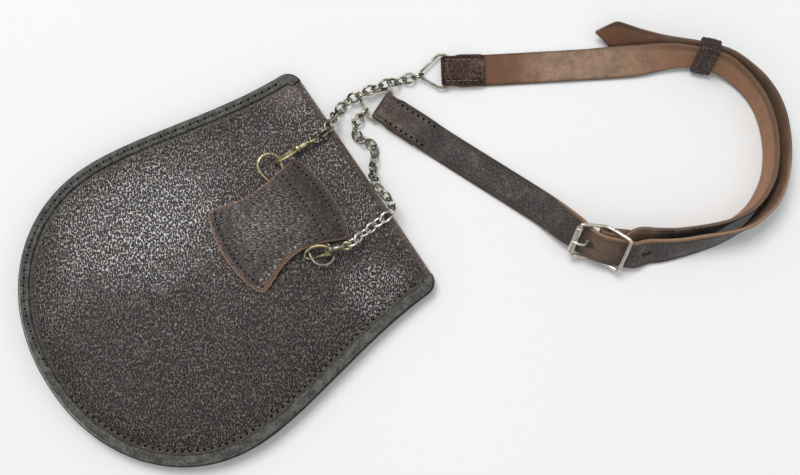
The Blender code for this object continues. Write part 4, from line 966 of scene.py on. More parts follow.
def rim_seams(vertices):
    """(along, from the row) of the stitches that run beside the binding."""
    outline, reach = rim_reach()
    size = len(outline)
    panel = len(vertices) - 1 - (len(vertices) - 1) % size
    seams = []
    for k, v in enumerate(vertices):
        away = NO_SEAM
        row = rim_row(v.x) - STRIP_WIDTH
        if k < size * len(FINE_RINGS) and -v.y > RIM_START and row > ROW_CLEAR:
            away = panel_depth(v.x, v.y) - row
        seams.append((reach[k % size] if k < panel else 0.0, away, 0.0))
    return seams


def rim_stitch_places():
    """The panel's needle holes, in the pouch frame."""
    outline, reach = rim_reach()
    distances = [(k + 0.5) * RIM_PITCH for k in range(1, int(reach[-1] / RIM_PITCH) - 1)]
    places = []
    for edge in at_distances(outline[MOUTH_STEPS:], distances):
        inward = (PANEL_CENTRE - edge).normalized()
        low, high = 0.0, 20.0
        for _ in range(20):
            middle = (low + high) / 2
            spot = edge + inward * middle
            if panel_depth(*spot) < rim_row(spot.x) - STRIP_WIDTH:
                low = middle
            else:
                high = middle
        spot = edge + inward * low
        if -spot.y > RIM_START and rim_row(spot.x) - STRIP_WIDTH > ROW_CLEAR:
            places.append(xyz(*spot, back_top(*spot) + relief(*spot)))
    return places


def build_front_panel():
    vertices, faces = fine_panel(fine_outline(-FOLD_DEPTH - WALL), front_middle)
    marks = [(0.25 * smooth_step((3.0 - v.z) / 2), 0.0, 0.0) for v in vertices]
    spots = [(v.x + 300, v.y, 0.0) for v in vertices]
    seams = [(0.0, NO_SEAM, 0.0)] * len(vertices)
    obj = mesh_from("pouch_front", (vertices, faces), POUCH_LOOKS, POUCH, spots, marks, seams, side=-1)
    add_wall(obj, WALL)
    piece(baked(obj, 60), node="front_panel")


def build_edge_binding():
    """Leather strip folded over the sewn edge."""
    inner = WALL + GAP / 2 + BIND_GAP
    outer = inner + BIND_WALL
    # distance out from the panels' edge, height from the seam, wear (rub and a painted highlight line along
    # the crown), shade (painted shade in the groove and down the side)
    upper = (
        (-BIND_REACH, inner + 0.35, 0.0, 0.6), (-BIND_REACH + 0.12, outer - 0.6, 0.0, 0.2),
        (-BIND_REACH + 0.4, outer - 0.34, 0.0, 0.0), (-4.6, outer - 0.24, 0.0, 0.0),
        (-3.6, outer - 0.16, 0.0, 0.0), (-2.6, outer - 0.16, 0.0, 0.0), (-1.6, outer - 0.04, 0.0, 0.0),
        (-0.8, outer, 0.0, 0.0), (-0.2, outer - 0.06, 0.25, 0.0), (0.15, outer - 0.16, 1.0, 0.0),
        (0.40, outer - 0.30, 0.5, 0.0), (0.62, outer - 0.62, 0.0, 0.85), (0.85, outer - 0.95, 0.1, 0.4),
        (1.15, outer - 1.50, 0.1, 0.5), (1.4, outer - 2.2, 0.0, 0.9), (PANEL_INSET, outer - 3.1, 0.0, 0.95),
    )  # fmt: skip
    hollow = ((-BIND_REACH, -inner), (GAP * 2, -inner), (GAP * 2, inner), (-BIND_REACH, inner))
    section = [*upper, *((o, -z, wear, shade) for o, z, wear, shade in upper[::-1])]
    section += [(o, z, 0.0, 0.5) for o, z in hollow]
    side = [p for p in outline_side(60, 84, PANEL_INSET, 12) if -p.y > BIND_END]
    route = [Vector((-p.x, p.y)) for p in side[:-1]] + side[::-1]
    spots, marks, rings, seams, row_walk = [], [], [], [], []
    for k, (point, travelled) in enumerate(zip(route, walked(route))):
        along = (route[min(k + 1, len(route) - 1)] - route[max(k - 1, 0)]).normalized()
        out = Vector((along.y, -along.x))
        height = rim_height(point.y)
        row = rim_row(point.x)
        sewn = row < STRIP_WIDTH - ROW_CLEAR and -point.y > RIM_START
        if sewn:
            row_walk.append((travelled, xyz(*(point + out * (PANEL_INSET - row)), height + outer - 0.16)))
        # Rub and the painted highlight line along the crown: faint all round, strongest low on the left
        rubbed = 0.2 + 0.8 * smooth_step((-point.y - 195) / 15) * (1 - smooth_step((point.x - 25) / 30))
        ring = []
        for o, z, wear, shade in section:
            ripple = 0.07 * noise_at(travelled / 7, o / 3, z)
            reach = o + (ripple if o > -1.5 else 0.0)
            z_place = height + z * (1 - 0.006 * abs(ripple))
            ring.append(xyz(point.x + out.x * reach, point.y + out.y * reach, z_place))
            spots.append((travelled, o, z))
            marks.append((wear * rubbed, shade, 0.0))
            seams.append((travelled, PANEL_INSET - o - row if sewn and z > 0 else NO_SEAM, 0.0))
        rings.append(ring)
    layers = {"spots": spots, "marks": marks, "seams": seams}
    simple("binding", loft(rings), "binding", "binding_leather", "edge_binding", POUCH, 50, **layers)
    holes = []
    for (start, a), (end, b) in zip(row_walk, row_walk[1:]):
        number = math.ceil(start / RIM_PITCH - 0.5)
        while (number + 0.5) * RIM_PITCH < end:
            holes.append(a.lerp(b, ((number + 0.5) * RIM_PITCH - start) / (end - start)))
            number += 1
    sew("strip_stitches", rim_threads(holes), "thread", 0.26, "binding_leather")


# ------------------------------------------------------------------------ tab


def tab_point(across, down):
    """Point of the tab's outline grid; across -1 to 1, down 0 to 1."""
    top_y = TAB_TOP_Y + TAB_TOP_BULGE * (1 - across * across)
    low_y = TAB_LOW_Y - TAB_LOW_BULGE * (1 - across * across)
    if across > 0:
        top_half, waist, skew = TAB_TOP_HALF_RIGHT, TAB_WAIST_RIGHT, 1.0
    else:
        top_half, waist, skew = TAB_TOP_HALF_LEFT, TAB_WAIST_LEFT, TAB_WAIST_LEFT_SKEW
    half = top_half + (TAB_LOW_HALF - top_half) * down
    half -= waist * max(0.0, math.sin(math.pi * down**skew)) ** 1.2
    return half * across + TAB_LOW_CENTRE * down, top_y + (low_y - top_y) * down


def tab_across(x, down):
    """Where a place x lies across the tab, -1 to 1."""
    left, middle, right = (tab_point(across, down)[0] for across in (-1.0, 0.0, 1.0))
    return (x - middle) / (right - middle) if x > middle else (x - middle) / (middle - left)


def tab_free(down):
    """How free of the back the tab is, from 0 at its sewn ends to 1 over the bridge."""
    return smooth_step(down / 0.2) * smooth_step((1 - down) / 0.3)


def tab_relief(across, down):
    """Creases over the bridge and edges that curl down, in millimetres."""
    x, y = tab_point(across, down)
    creases = 0.0
    for wave, rise in ((5.5, 0.22), (2.6, 0.13)):
        sway = 1.5 * noise_at(x / 18, y / 18, wave)
        creases += rise * noise_at(x / (wave * 3.2), (y + sway) / wave, wave)
    curl = -0.9 * smooth_step((abs(across) - 0.84) / 0.16)
    rows = sum(-0.12 * math.exp(-(((down - row) * 77.5) ** 2)) for row in TAB_ROWS)
    return (creases + curl) * tab_free(down) + rows


def tab_height(across, down):
    """Height of the tab's middle surface, creases and all."""
    x, y = tab_point(across, down)
    lift = TAB_BRIDGE * tab_free(down)
    return back_top(x, y) + GAP + TAB_WALL / 2 + lift + tab_relief(across, down)


def tab_marks(across, down, x, y):
    """Rubbed edges, most of all low on the right side; painted highlight streaks beside that side and painted
    sheen over the middle.
    """
    ragged = noise_at(x / 3, y / 3, 8.0)
    from_end = min(down * 64, (1 - down) * 64)
    rim = min((1 - abs(across)) * 30, from_end)
    wear = 0.85 * smooth_step((2.4 - rim + 0.9 * ragged) / 1.6)
    if rim == down * 64:
        wear *= 0.55
    from_side = (1 - across) * 28
    side = smooth_step((down - 0.36) / 0.12)
    wear = max(wear, side * smooth_step((4.0 - from_side + 0.3 * ragged) / 1.0))
    highlight_streaks = noise_at(y / 1.3, x / 5.0, 4.4)
    band = side * smooth_step((7.0 - from_side) / 1.0) * smooth_step((from_side - 2.6) / 0.8)
    from_middle = Vector((across + 0.15, (down - 0.58) * 2.4)).length
    # bloom paints highlight streaks in the band by the low right side, then sheen over the middle
    bloom_and_sheen = 0.9 * band * smooth_step((highlight_streaks + 0.15) / 0.25)
    bloom_and_sheen = max(bloom_and_sheen, 0.45 * smooth_step(1.0 - from_middle + 0.4 * ragged))
    plain = 0.30 * smooth_step((0.34 - down) / 0.10)
    plain = max(plain, 0.35 * math.exp(-((tab_row_away(down) / 1.5) ** 2)))
    return wear, plain * (1 - wear), bloom_and_sheen


def tab_row_away(down):
    """Distance from the nearest row of stitches."""
    return (down - min(TAB_ROWS, key=lambda row: abs(row - down))) * 64


def build_back_tab():
    """Patch sewn down at both ends; the ring bars lie under its free sides."""
    columns, rows = 64, 72
    vertices, spots, marks, seams = [], [], [], []
    for j in range(rows + 1):
        for i in range(columns + 1):
            across, down = 2 * i / columns - 1, j / rows
            rounded = across * (1 - 0.05 * abs(2 * down - 1) ** 14)
            x, y = tab_point(rounded, 0.5 + (down - 0.5) * (1 - 0.035 * abs(across) ** 14))
            vertices.append(xyz(x, y, tab_height(across, down)))
            spots.append((x, y, 0.0))
            marks.append(tab_marks(across, down, x, y))
            seams.append((x, NO_SEAM if abs(across) > 0.94 else tab_row_away(down), 0.0))
    width = columns + 1
    corners = [j * width + i for j in range(rows) for i in range(columns)]
    faces = [(k, k + 1, k + width + 1, k + width) for k in corners]
    looks = ("tab", "pouch_flesh", "tab_edge")
    obj = mesh_from("tab", (vertices, faces), looks, POUCH, spots, marks, seams, side=1)
    add_wall(obj, TAB_WALL)
    add_bevel(obj, 0.75, look=looks.index("tab_edge"))
    piece(baked(obj, 50), node="back_tab")
    threads = []
    for row in TAB_ROWS:
        for number in range(-8, 8):
            first, last = (number + 0.5) * TAB_PITCH, (number + 1.5) * TAB_PITCH
            if max(abs(tab_across(x, row)) for x in (first, last)) < 0.93:
                ends = [tab_across(x, row) for x in (first + 0.55, last - 0.55)]
                tops = [xyz(*tab_point(end, row), tab_height(end, row) + TAB_WALL / 2 + 0.02) for end in ends]
                threads.append((*map(off_pouch, tops), UP))
    sew("tab_stitches", threads, "tab_thread", 0.22, "tab_leather")


# ----------------------------------------------------------- rings and clasps


# One row for each ring: the share of the tab's length where its bar lies, the way it
# points, how far its bar is in from the tab's edge, its rise, and how far one of its
# legs is lifted over the other, in degrees
RINGS = (
    {"name": "d_ring_left", "down": 0.27, "points": -1, "inside": 1.2, "rise": 15.0, "tilt": 0.0},
    {"name": "d_ring_right", "down": 0.32, "points": 1, "inside": 1.7, "rise": 6.0, "tilt": 7.0},
)
# Clasp: X from the hooked wire to the swivel eye, Z to the side of the arm
ARM_ROUTE = (
    (12.5, 0.8), (10.6, 3.2), (8.0, 4.4), (4.8, 4.9), (1.7, 4.3), (-1.2, 2.7), (-2.7, 0.4), (-2.3, -1.6),
    (-0.4, -2.7), (2.2, -2.6),
)  # fmt: skip
ARM_WIRE = 0.9
LEVER_HEIGHT = -2.4
LEVER_PIVOT = 10.3
LEVER_TIP = 2.6
LEVER_HALF = 0.5
LEVER_HALF_WIDTH = 0.7
# Collar and barrel, as (x, radius) pairs; the collar's own finish ends at COLLAR_START
BARREL_PROFILE = (
    (11.5, 1.6), (11.7, 2.05), (12.3, 2.5), (13.5, 2.5), (14.0, 2.15), (14.2, 1.5), (14.7, 1.42), (15.0, 1.8),
    (18.1, 1.72), (18.5, 1.66), (18.6, 1.4), (19.1, 1.3),
)  # fmt: skip
COLLAR_START = 11.6
BARREL_LOOKS = {"clasp_1": "brass", "clasp_2": "dull_metal"}
EYE_CENTRE = 22.6
EYE_RADIUS = 2.5
EYE_WIRE = 0.75
HOOK_SLACK = 0.4  # the hooked wire lies this far from the middle of the bend
# One row for each clasp: the ring that it hooks, the place on that ring's arc or
# leg, the place of its eye and how high that is above the back, and its roll
CLASPS = (
    {"name": "clasp_1", "ring": 0, "held": (8.3, -7.1), "eye": (-34.0, -13.6), "above": 4.9, "lift": 0.0,
     "roll": 25.0},
    {"name": "clasp_2", "ring": 1, "held": (4.8, -6.5), "eye": (31.9, -31.0), "above": 10.0, "lift": 0.2,
     "roll": -48.0},
)  # fmt: skip


def ring_frame(row):
    """Matrix of a ring: X away from its bar, Y along the bar."""
    points, tilt, rise = row["points"], math.radians(row["tilt"]), math.radians(row["rise"])
    x, y = tab_point(points, row["down"])
    x -= points * row["inside"]
    base = back_top(x, y) + GAP + RING_WIRE + RING_RADIUS * math.sin(tilt) + 0.1
    slope = (back_top(x, y + 6) - back_top(x, y - 6)) / 12
    side = xyz(0, 1, slope - math.tan(tilt)).normalized() * points
    along = xyz(points * math.cos(rise), 0, math.sin(rise))
    along = (along - side * along.dot(side)).normalized()
    return frame_matrix((x, y, base), along, side, along.cross(side))


def build_rings():
    """Closed D shapes: a half-round end, legs, and a bar with cut corners."""
    path = []
    for k in range(15):
        angle = math.radians(-100 + 200 * k / 14)
        path.append(xyz(RING_DEPTH + RING_RADIUS * math.cos(angle), RING_RADIUS * math.sin(angle)))
    corner, bar = 1.4, RING_BAR_HALF
    upper = [(corner, bar), (corner * 0.3, bar - corner * 0.3), (0, bar - corner)]
    path += [xyz(x, y) for x, y in upper] + [xyz(x, -y) for x, y in upper[::-1]]
    for row, look, slot in zip(RINGS, ("brass", "dull_brass"), ("old_brass", "tarnished_brass")):
        mesh = wire(softened(path), RING_WIRE, 14, UP, True)
        simple(row["name"] + "_wire", mesh, look, slot, row["name"], POUCH @ ring_frame(row))


def turned(profile, sides):
    """A solid turned about the X axis from (x, radius) pairs, closed at the end."""
    return loft([[xyz(x, a, b) for a, b in oval(radius, radius, sides)] for x, radius in profile])


def clasp_matrix(row):
    """Frame of a clasp in the pouch frame, its origin inside the hooked wire."""
    start = placed(ring_frame(RINGS[row["ring"]]), xyz(*row["held"]))
    eye = xyz(*row["eye"], back_top(*row["eye"]) + row["above"])
    along = (eye - start).normalized()
    start -= along * HOOK_SLACK
    start.z += row["lift"]
    level = UP.cross(along).normalized()
    roll = math.radians(row["roll"])
    up = along.cross(level) * math.cos(roll) - level * math.sin(roll)
    return frame_matrix(start, along, up.cross(along), up)


def box_mesh(xs, ys, zs):
    vertices = [(x, y, z) for x in sorted(xs) for y in sorted(ys) for z in sorted(zs)]
    return vertices, [(0, 1, 3, 2), (4, 6, 7, 5), (0, 4, 5, 1), (2, 3, 7, 6), (0, 2, 6, 4), (1, 5, 7, 3)]


def build_clasp(row):
    """Hook with its collar and barrel, sprung lever, and swivel eye."""
    name = row["name"]
    place = POUCH @ clasp_matrix(row)
    route = spline([(x, 0, z) for x, z in ARM_ROUTE], 0.6)
    radii = [ARM_WIRE * (1.0 - 0.09 * max(0, k + 5 - len(route))) for k in range(len(route))]
    helpers = [mesh_from(name + "_arm", wire(route, radii, 16, (0, 1, 0)), ["brass"], place)]
    vertices, faces = turned(BARREL_PROFILE, 28)
    kinds = [int(sum(vertices[k].x for k in face) / len(face) > COLLAR_START) for face in faces]
    looks = ["brass", BARREL_LOOKS[name]]
    body = mesh_from(name + "_body", (vertices, faces), looks, place, indices=kinds)
    for side in (-1, 1):
        lug = box_mesh((LEVER_PIVOT - 0.9, LEVER_PIVOT + 2.4), (side * 1.0, side * 1.7), (-2.8, 0.4))
        lug = mesh_from(f"{name}_lug_{side}", lug, ["brass"], place)
        add_bevel(lug, 0.22)
        helpers.append(baked(lug))
    combined(body, helpers, "UNION")
    piece(body, node=name + "_hook")
    top, low = LEVER_HEIGHT + LEVER_HALF, LEVER_HEIGHT - LEVER_HALF
    outline = (
        (LEVER_TIP, top), (LEVER_PIVOT, top + 0.3), (LEVER_PIVOT + 0.8, LEVER_HEIGHT),
        (LEVER_PIVOT, low - 0.1), (LEVER_PIVOT - 2.2, low - 0.1), (LEVER_PIVOT - 3.0, low - 0.5),
        (LEVER_PIVOT - 3.8, low - 0.5), (LEVER_PIVOT - 4.4, low), (LEVER_TIP, low),
    )  # fmt: skip
    mesh = loft([[(x, y, z) for x, z in outline] for y in (-LEVER_HALF_WIDTH, LEVER_HALF_WIDTH)])
    lever = mesh_from(name + "_lever_bar", mesh, ["brass"], place)
    add_bevel(lever, 0.16, 30)
    piece(baked(lever), name + "_lever", name + "_lever")
    path = [xyz(EYE_CENTRE + a, 0, b) for a, b in oval(EYE_RADIUS, EYE_RADIUS, 40)]
    eye = mesh_from(name + "_eye", wire(path, EYE_WIRE, 14, (0, 1, 0), True), ["brass"], place)
    start = BARREL_PROFILE[-1][0] + GAP
    flange = ((0.0, 0.9), (0.0, 1.4), (0.15, 1.5), (0.4, 1.5), (0.55, 1.25))
    profile = [(start + x, radius) for x, radius in flange] + [(EYE_CENTRE - EYE_RADIUS, 1.0)]
    stem = turned(profile, 24)
    combined(eye, [mesh_from(name + "_stem", stem, ["brass"], place)], "UNION")
    piece(eye, node=name + "_swivel")


# ------------------------------------------------------- chains and triangles


# Where each chain lies between its clasp and its triangle, in the straps' frame
CHAIN_1_ROUTE = (
    (-44.9, 60.2), (-42.0, 66.4), (-39.8, 72.4), (-37.2, 77.8), (-32.6, 82.2), (-26.6, 85.4), (-20.4, 88.0),
    (-14.6, 90.6), (-9.0, 92.8), (-3.0, 94.8), (3.4, 96.8), (8.4, 98.3),
)  # fmt: skip
CHAIN_2_ROUTE = (
    (-22.6, -1.2), (-17.4, 3.4), (-12.0, 7.6), (-7.4, 10.6), (-4.6, 15.0), (-6.0, 20.4), (-10.6, 25.0),
    (-14.8, 31.0), (-16.4, 37.4), (-16.2, 44.0), (-15.4, 50.2), (-15.8, 55.6), (-20.4, 58.4), (-25.4, 60.2),
    (-27.6, 65.4), (-26.4, 71.2),
)  # fmt: skip
CHAIN_1_FIRST_ROLL = 38.0  # of the link in the clasp's eye, in degrees
CHAIN_2_FIRST_ROLL = 134
LAST_ROLL = 90.0  # of the link that hooks a triangle
ROLL_WOBBLE = 6.0
LINK_REST = 3.4  # height of a lying link's middle above what it lies on
CROSSED_WIRE = 4.6  # height of the triangle's side that the first chain lies on
HOOKED_SHARE = 0.72  # how far along its triangle's side the second chain hooks it
BRIGHT_LINKS = ["chain_2_link_%02d" % k for k in range(1, 7)]
# Middle of each triangle's bar, the bar's heading, and the tip
TRIANGLES = (
    {"name": "triangle_1", "bar": (28.6, 101.9, 3.6), "heading": -87.5, "tip": (10.6, 99.2, 3.85)},
    {"name": "triangle_2", "bar": (-9.8, 79.2, 3.6), "heading": 57.1, "tip": (-25.2, 86.6, 3.85)},
)


def ground(x, y, crossed):
    """Height of what lies on the table at a place: pouch, crossed wire or nothing."""
    beneath = 0.0
    for a, b in zip(crossed, crossed[1:]):
        nearest, share = geometry.intersect_point_line((x, y), a, b)
        nearest = a.lerp(b, min(1.0, max(0.0, share)))
        if (Vector((x, y)) - nearest).length < 1.5:
            beneath = CROSSED_WIRE
    spot = Matrix.Rotation(math.radians(-POUCH_TURN), 2) @ (Vector((x, y)) - Vector(POUCH_PLACE))
    if spot.y > 0 or abs(spot.x) > half_width(spot.y):
        return beneath
    if spot.y > -FOLD_DEPTH:
        share = 1 + spot.y / FOLD_DEPTH
        return back_top(spot.x, -FOLD_DEPTH) / 2 * (1 + math.sqrt(1 - share * share))
    top = back_top(*spot)
    if half_width(spot.y) - abs(spot.x) < STRIP_WIDTH:
        return max(top, rim_height(spot.y) + WALL + BIND_WALL + GAP)
    if TAB_LOW_Y < spot.y < TAB_TOP_Y + TAB_TOP_BULGE and abs(spot.x) < TAB_LOW_HALF:
        return top + TAB_WALL + GAP
    return top


def settled(start, route, end, crossed=()):
    """A chain's path in space: it rests on what lies beneath the route."""
    flat = spline([start.to_2d(), *route, end.to_2d()], 0.5)
    rest = []
    for point in flat:
        around = [point] + [point + Vector(place) * 4.0 for place in oval(1, 1, 8)]
        rest.append(max(ground(x, y, crossed) for x, y in around) + LINK_REST)
    path = []
    reach = 8
    for k, point in enumerate(flat):
        near = rest[max(0, k - reach) : k + reach + 1]
        height = sum(near) / len(near)
        for steps, fixed in ((k, start.z), (len(flat) - 1 - k, end.z)):
            height = fixed + (height - fixed) * smooth_step(steps * 0.5 / 9.0)
        path.append(xyz(*point, height))
    return path


def link_rolls(first, count):
    """About a quarter turn from each link to the next, ending at LAST_ROLL."""
    steps = count - 1
    excess = (LAST_ROLL - first - 90.0 * steps + 90.0) % 180.0 - 90.0
    rolls = []
    for k in range(count):
        late = smooth_step((k - steps + 5) / 5)
        rolls.append(first + 90.0 * k + excess * late + ROLL_WOBBLE * math.sin(2.1 * k) * (1 - late))
    return rolls


def build_chain(name, path, count, first_roll):
    """Oval links laid along a path, each turned against the one before it."""
    pitch = walked(path)[-1] / count
    joints = at_distances(path, [k * pitch for k in range(count + 1)])
    link = oval(pitch / 2 + CHAIN_WIRE + LINK_GAP / 2, LINK_WIDTH / 2 - CHAIN_WIRE, 36)
    vertices, faces = wire([xyz(a, b) for a, b in link], CHAIN_WIRE, 12, UP, True)
    for k, (start, end, roll) in enumerate(zip(joints, joints[1:], link_rolls(first_roll, count))):
        along = (end - start).normalized()
        level = UP.cross(along).normalized()
        roll = math.radians(roll)
        side = level * math.cos(roll) + along.cross(level) * math.sin(roll)
        place = SHIFT @ frame_matrix((start + end) / 2, along, side, along.cross(side))
        spots = [(v.x + 31 * k, v.y + 17 * k, v.z) for v in vertices]
        label = f"{name}_link_{k + 1:02d}"
        look = "bright_chain" if label in BRIGHT_LINKS else "chain"
        simple(label + "_wire", (vertices, faces), look, "chain_metal", label, place, spots=spots)


def build_chains():
    eye_end = xyz(EYE_CENTRE + EYE_RADIUS - EYE_WIRE - LINK_GAP / 2, 0)
    unshifted = SHIFT.inverted() @ POUCH
    first, second = (placed(unshifted @ clasp_matrix(row), eye_end) for row in CLASPS)
    crossed = [corner.to_2d() for corner in triangle_corners(TRIANGLES[1])[1:3]]
    path = settled(first, CHAIN_1_ROUTE, hooked_tip(TRIANGLES[0]), crossed)
    build_chain("chain_1", path, CHAIN_1_LINKS, CHAIN_1_FIRST_ROLL)
    path = settled(second, CHAIN_2_ROUTE, hooked_side(TRIANGLES[1], HOOKED_SHARE))
    build_chain("chain_2", path, CHAIN_2_LINKS, CHAIN_2_FIRST_ROLL)


def rounded_loop(corners, steps):
    """Closed path with an arc at each (corner, radius)."""
    path = []
    for k, (corner, radius) in enumerate(corners):
        before = (corners[k - 1][0] - corner).normalized()
        after = (corners[(k + 1) % len(corners)][0] - corner).normalized()
        half = before.angle(after) / 2
        reach = radius / math.tan(half)
        middle = corner + (before + after).normalized() * (radius / math.sin(half))
        first = corner + before * reach - middle
        last = corner + after * reach - middle
        for step in range(steps + 1):
            path.append(middle + first.lerp(last, step / steps).normalized() * radius)
    return path


def triangle_corners(row):
    """Bar end, shoulder, tip, shoulder, bar end."""
    middle, tip = Vector(row["bar"]), Vector(row["tip"])
    along = heading_to(row["heading"]) * TRIANGLE_BAR_HALF
    ahead = xyz(-along.y, along.x).normalized()
    if ahead.dot(tip - middle) < 0:
        ahead = -ahead
    ahead = ahead * TRIANGLE_SHOULDER
    return middle + along, middle + along + ahead, tip, middle - along + ahead, middle - along


def hooked_tip(row):
    """Where a chain's last link meets the inside of a triangle's tip."""
    _, first, tip, last, _ = triangle_corners(row)
    inward = ((first - tip).normalized() + (last - tip).normalized()).normalized()
    half = (first - tip).angle(last - tip) / 2
    arc = TIP_RADIUS / math.sin(half) - TIP_RADIUS
    return tip + inward * (arc + TRIANGLE_WIRE + LINK_GAP / 2)


def hooked_side(row, share):
    """Where a chain's last link meets the inside of a triangle's lower side."""
    _, _, tip, last, _ = triangle_corners(row)
    place = tip.lerp(last, share)
    side = (last - tip).normalized()
    inward = Vector(row["bar"]) - place
    inward = (inward - side * inward.dot(side)).normalized()
    return place + inward * (TRIANGLE_WIRE + LINK_GAP / 2)


def build_triangles():
    for row in TRIANGLES:
        radii = (1.0, 2.4, TIP_RADIUS, 2.4, 1.0)
        path = rounded_loop(list(zip(triangle_corners(row), radii)), 7)
        mesh = wire(path, TRIANGLE_WIRE, 14, UP, True)
        simple(row["name"] + "_wire", mesh, "triangle", "old_brass", row["name"])


# --------------------------------------------------------------------- straps


# Both straps are followed the same way round the loop, the grain side outwards, by
# x, y, lean (0 grain up, 90 on edge, 180 grain down) and lift above where it would rest
TAIL_ROUTE = (
    (-6.6, 77.1, 0.0, 4.6), (-0.6, 73.2, 0.0, 3.1), (6.0, 69.0, 0.0, 2.7), (12.6, 64.7, 0.0, 2.7),
    (18.9, 60.6, 0.0, 0.9), (26.0, 56.0, 0.0, 0.0), (39.5, 47.3, 1.0, 0.0), (56.3, 36.5, 3.0, 0.0),
    (73.0, 25.7, 6.0, 0.2), (88.0, 15.6, 12.0, 0.8),
)  # fmt: skip
# The same strap in the buckle: distance along, off the middle, height outwards, lean
TAIL_IN_BUCKLE = (
    (-22.0, 1.0, -3.0, 22.0), (-15.5, 1.0, 0.8, 34.0), (-10.5, 0.0, 3.0, 40.0), (-5.0, -0.6, 5.1, 42.0),
    (0.0, -0.6, 5.8, 42.5), (5.0, -0.6, 5.3, 43.0), (10.5, -0.6, 3.8, 43.5), (15.5, -0.6, 2.3, 44.5),
    (20.5, -0.6, 1.1, 46.0),
)  # fmt: skip
TAIL_ROUTE_AFTER = (
    (148.6, -9.4, 50.0, 0.0), (156.3, -8.9, 54.0, 0.0), (167.0, -7.4, 62.0, 0.0), (181.0, -4.2, 70.0, 0.0),
    (191.0, -1.6, 78.0, 0.0), (200.0, 1.6, 87.0, 0.0), (208.2, 5.9, 94.0, 0.0), (215.2, 12.2, 99.0, 0.0),
    (221.2, 19.4, 103.0, 0.0), (225.4, 28.0, 105.0, 0.0), (228.2, 38.6, 105.0, 0.0),
    (229.4, 50.0, 105.0, 0.0), (229.0, 61.0, 105.0, 0.0), (227.2, 72.0, 106.0, 0.0),
    (223.2, 82.5, 107.0, 0.2), (216.4, 92.4, 108.0, 0.7), (206.8, 101.0, 109.0, 1.6),
    (198.4, 106.2, 111.0, 2.7), (191.8, 108.7, 112.0, 3.2), (178.1, 111.9, 112.0, 3.2),
    (170.0, 113.4, 113.0, 2.4), (158.0, 115.6, 116.0, 1.0), (143.8, 119.3, 120.0, 0.2),
    (130.6, 123.2, 128.0, 0.0), (119.2, 125.2, 135.0, 0.0),
)  # fmt: skip
BUCKLE_STRAP_AFTER = (
    (141.6, -1.8, 57.0, 0.6), (152.0, -1.6, 61.0, 0.3), (165.0, -0.9, 66.0, 0.2), (184.6, 3.4, 78.0, 0.0),
    (194.0, 7.0, 87.0, 0.0), (202.8, 11.6, 93.0, 0.0), (210.4, 17.4, 97.0, 0.0), (216.4, 25.6, 100.0, 0.0),
    (221.0, 36.0, 101.0, 0.0), (223.0, 50.0, 101.0, 0.0), (222.4, 61.5, 101.0, 0.0),
    (220.4, 71.6, 101.0, 0.0), (216.8, 81.2, 102.0, 0.2), (210.8, 90.2, 104.0, 0.7),
    (203.6, 97.4, 107.0, 1.6), (196.6, 102.6, 111.0, 2.7), (191.0, 105.2, 112.0, 3.2),
    (177.3, 108.4, 112.5, 3.2), (168.4, 109.4, 121.0, 2.4), (159.0, 109.3, 132.0, 1.2),
    (146.0, 107.9, 148.0, 0.4), (130.0, 107.3, 168.0, 0.0), (113.2, 106.4, 180.0, 0.0),
    (83.9, 104.7, 180.0, 0.0), (56.0, 103.1, 180.0, 0.0), (34.0, 102.1, 180.0, 0.0),
)  # fmt: skip
# Half of a strap's section, from its edge inwards: distance in, and how far the
# surface lies below the full thickness there
GRAIN_PROFILE = (
    (0.0, 0.75), (0.18, 0.38), (0.5, 0.12), (0.95, 0.0), (1.3, 0.02), (1.65, 0.40), (1.95, 0.10), (2.3, 0.02),
    (2.6, 0.28), (2.9, 0.03), (3.6, 0.0), (5.0, 0.0), (7.2, 0.0),
)  # fmt: skip
FLESH_PROFILE = ((0.0, 0.75), (0.25, 0.35), (0.7, 0.08), (2.2, 0.0), (5.0, 0.0))
SEAM_INSET = 2.9  # of the needle rows, from the strap's edge
PATCH_SEAM_INSET = 3.4
STRAP_THREAD = 0.24  # radius of the straps' threads
HOLE_HALF_LENGTH = 3.0
HOLE_HALF_WIDTH = 1.5
HOLE_CUT_REACH = 3.2  # of the cutter, to both sides of its middle
PATCH_EARLY = 5.5  # the patch's finish starts this far before the fold's end
STRAP_LOOKS = ("strap", "strap_flesh", "strap_edge", "patch")


def strap_stations(rows):
    """Middle points and leans of a strap that rests on its lower edge."""
    stations = []
    for x, y, lean, lift in rows:
        angle = math.radians(lean)
        rest = STRAP_WIDTH / 2 * abs(math.sin(angle)) + STRAP_WALL / 2 * abs(math.cos(angle))
        stations.append((xyz(x, y, rest + lift), lean))
    return stations


def strap_width(place):
    """Width of a strap: a little less where it folds round a triangle's bar."""
    nearest = min((place - Vector(row["bar"])).length for row in TRIANGLES)
    return STRAP_WIDTH - FOLD_NARROWING * smooth_step((9.0 - nearest) / 5.0)


def buckle_axes():
    """Axes of the buckle: along the strap, across it, and outwards."""
    along = heading_to(BUCKLE_HEADING)
    return along, *tilted(along, math.radians(BUCKLE_LEAN))


def buckle_frame():
    return SHIFT @ frame_matrix(BUCKLE_CENTRE, *buckle_axes())


def in_buckle(along_mm, edge_mm, grain_mm):
    along, edge, grain = buckle_axes()
    return Vector(BUCKLE_CENTRE) + along * along_mm + edge * edge_mm + grain * grain_mm


def fold_round(centre, towards, start_side, radius):
    """Points half way round a bar, from one side of it to the other."""
    angles = [math.pi * k / 4 for k in range(5)]
    return [centre + start_side * (radius * math.cos(a)) + towards * (radius * math.sin(a)) for a in angles]


def on_table(ring):
    """The ring, lifted where it would sink into the table."""
    sunk = min(0.0, min(corner.z for corner in ring))
    return [corner - UP * sunk for corner in ring]


def taper(remaining):
    return max(0.06, min(1.0, remaining / TAIL_POINT))


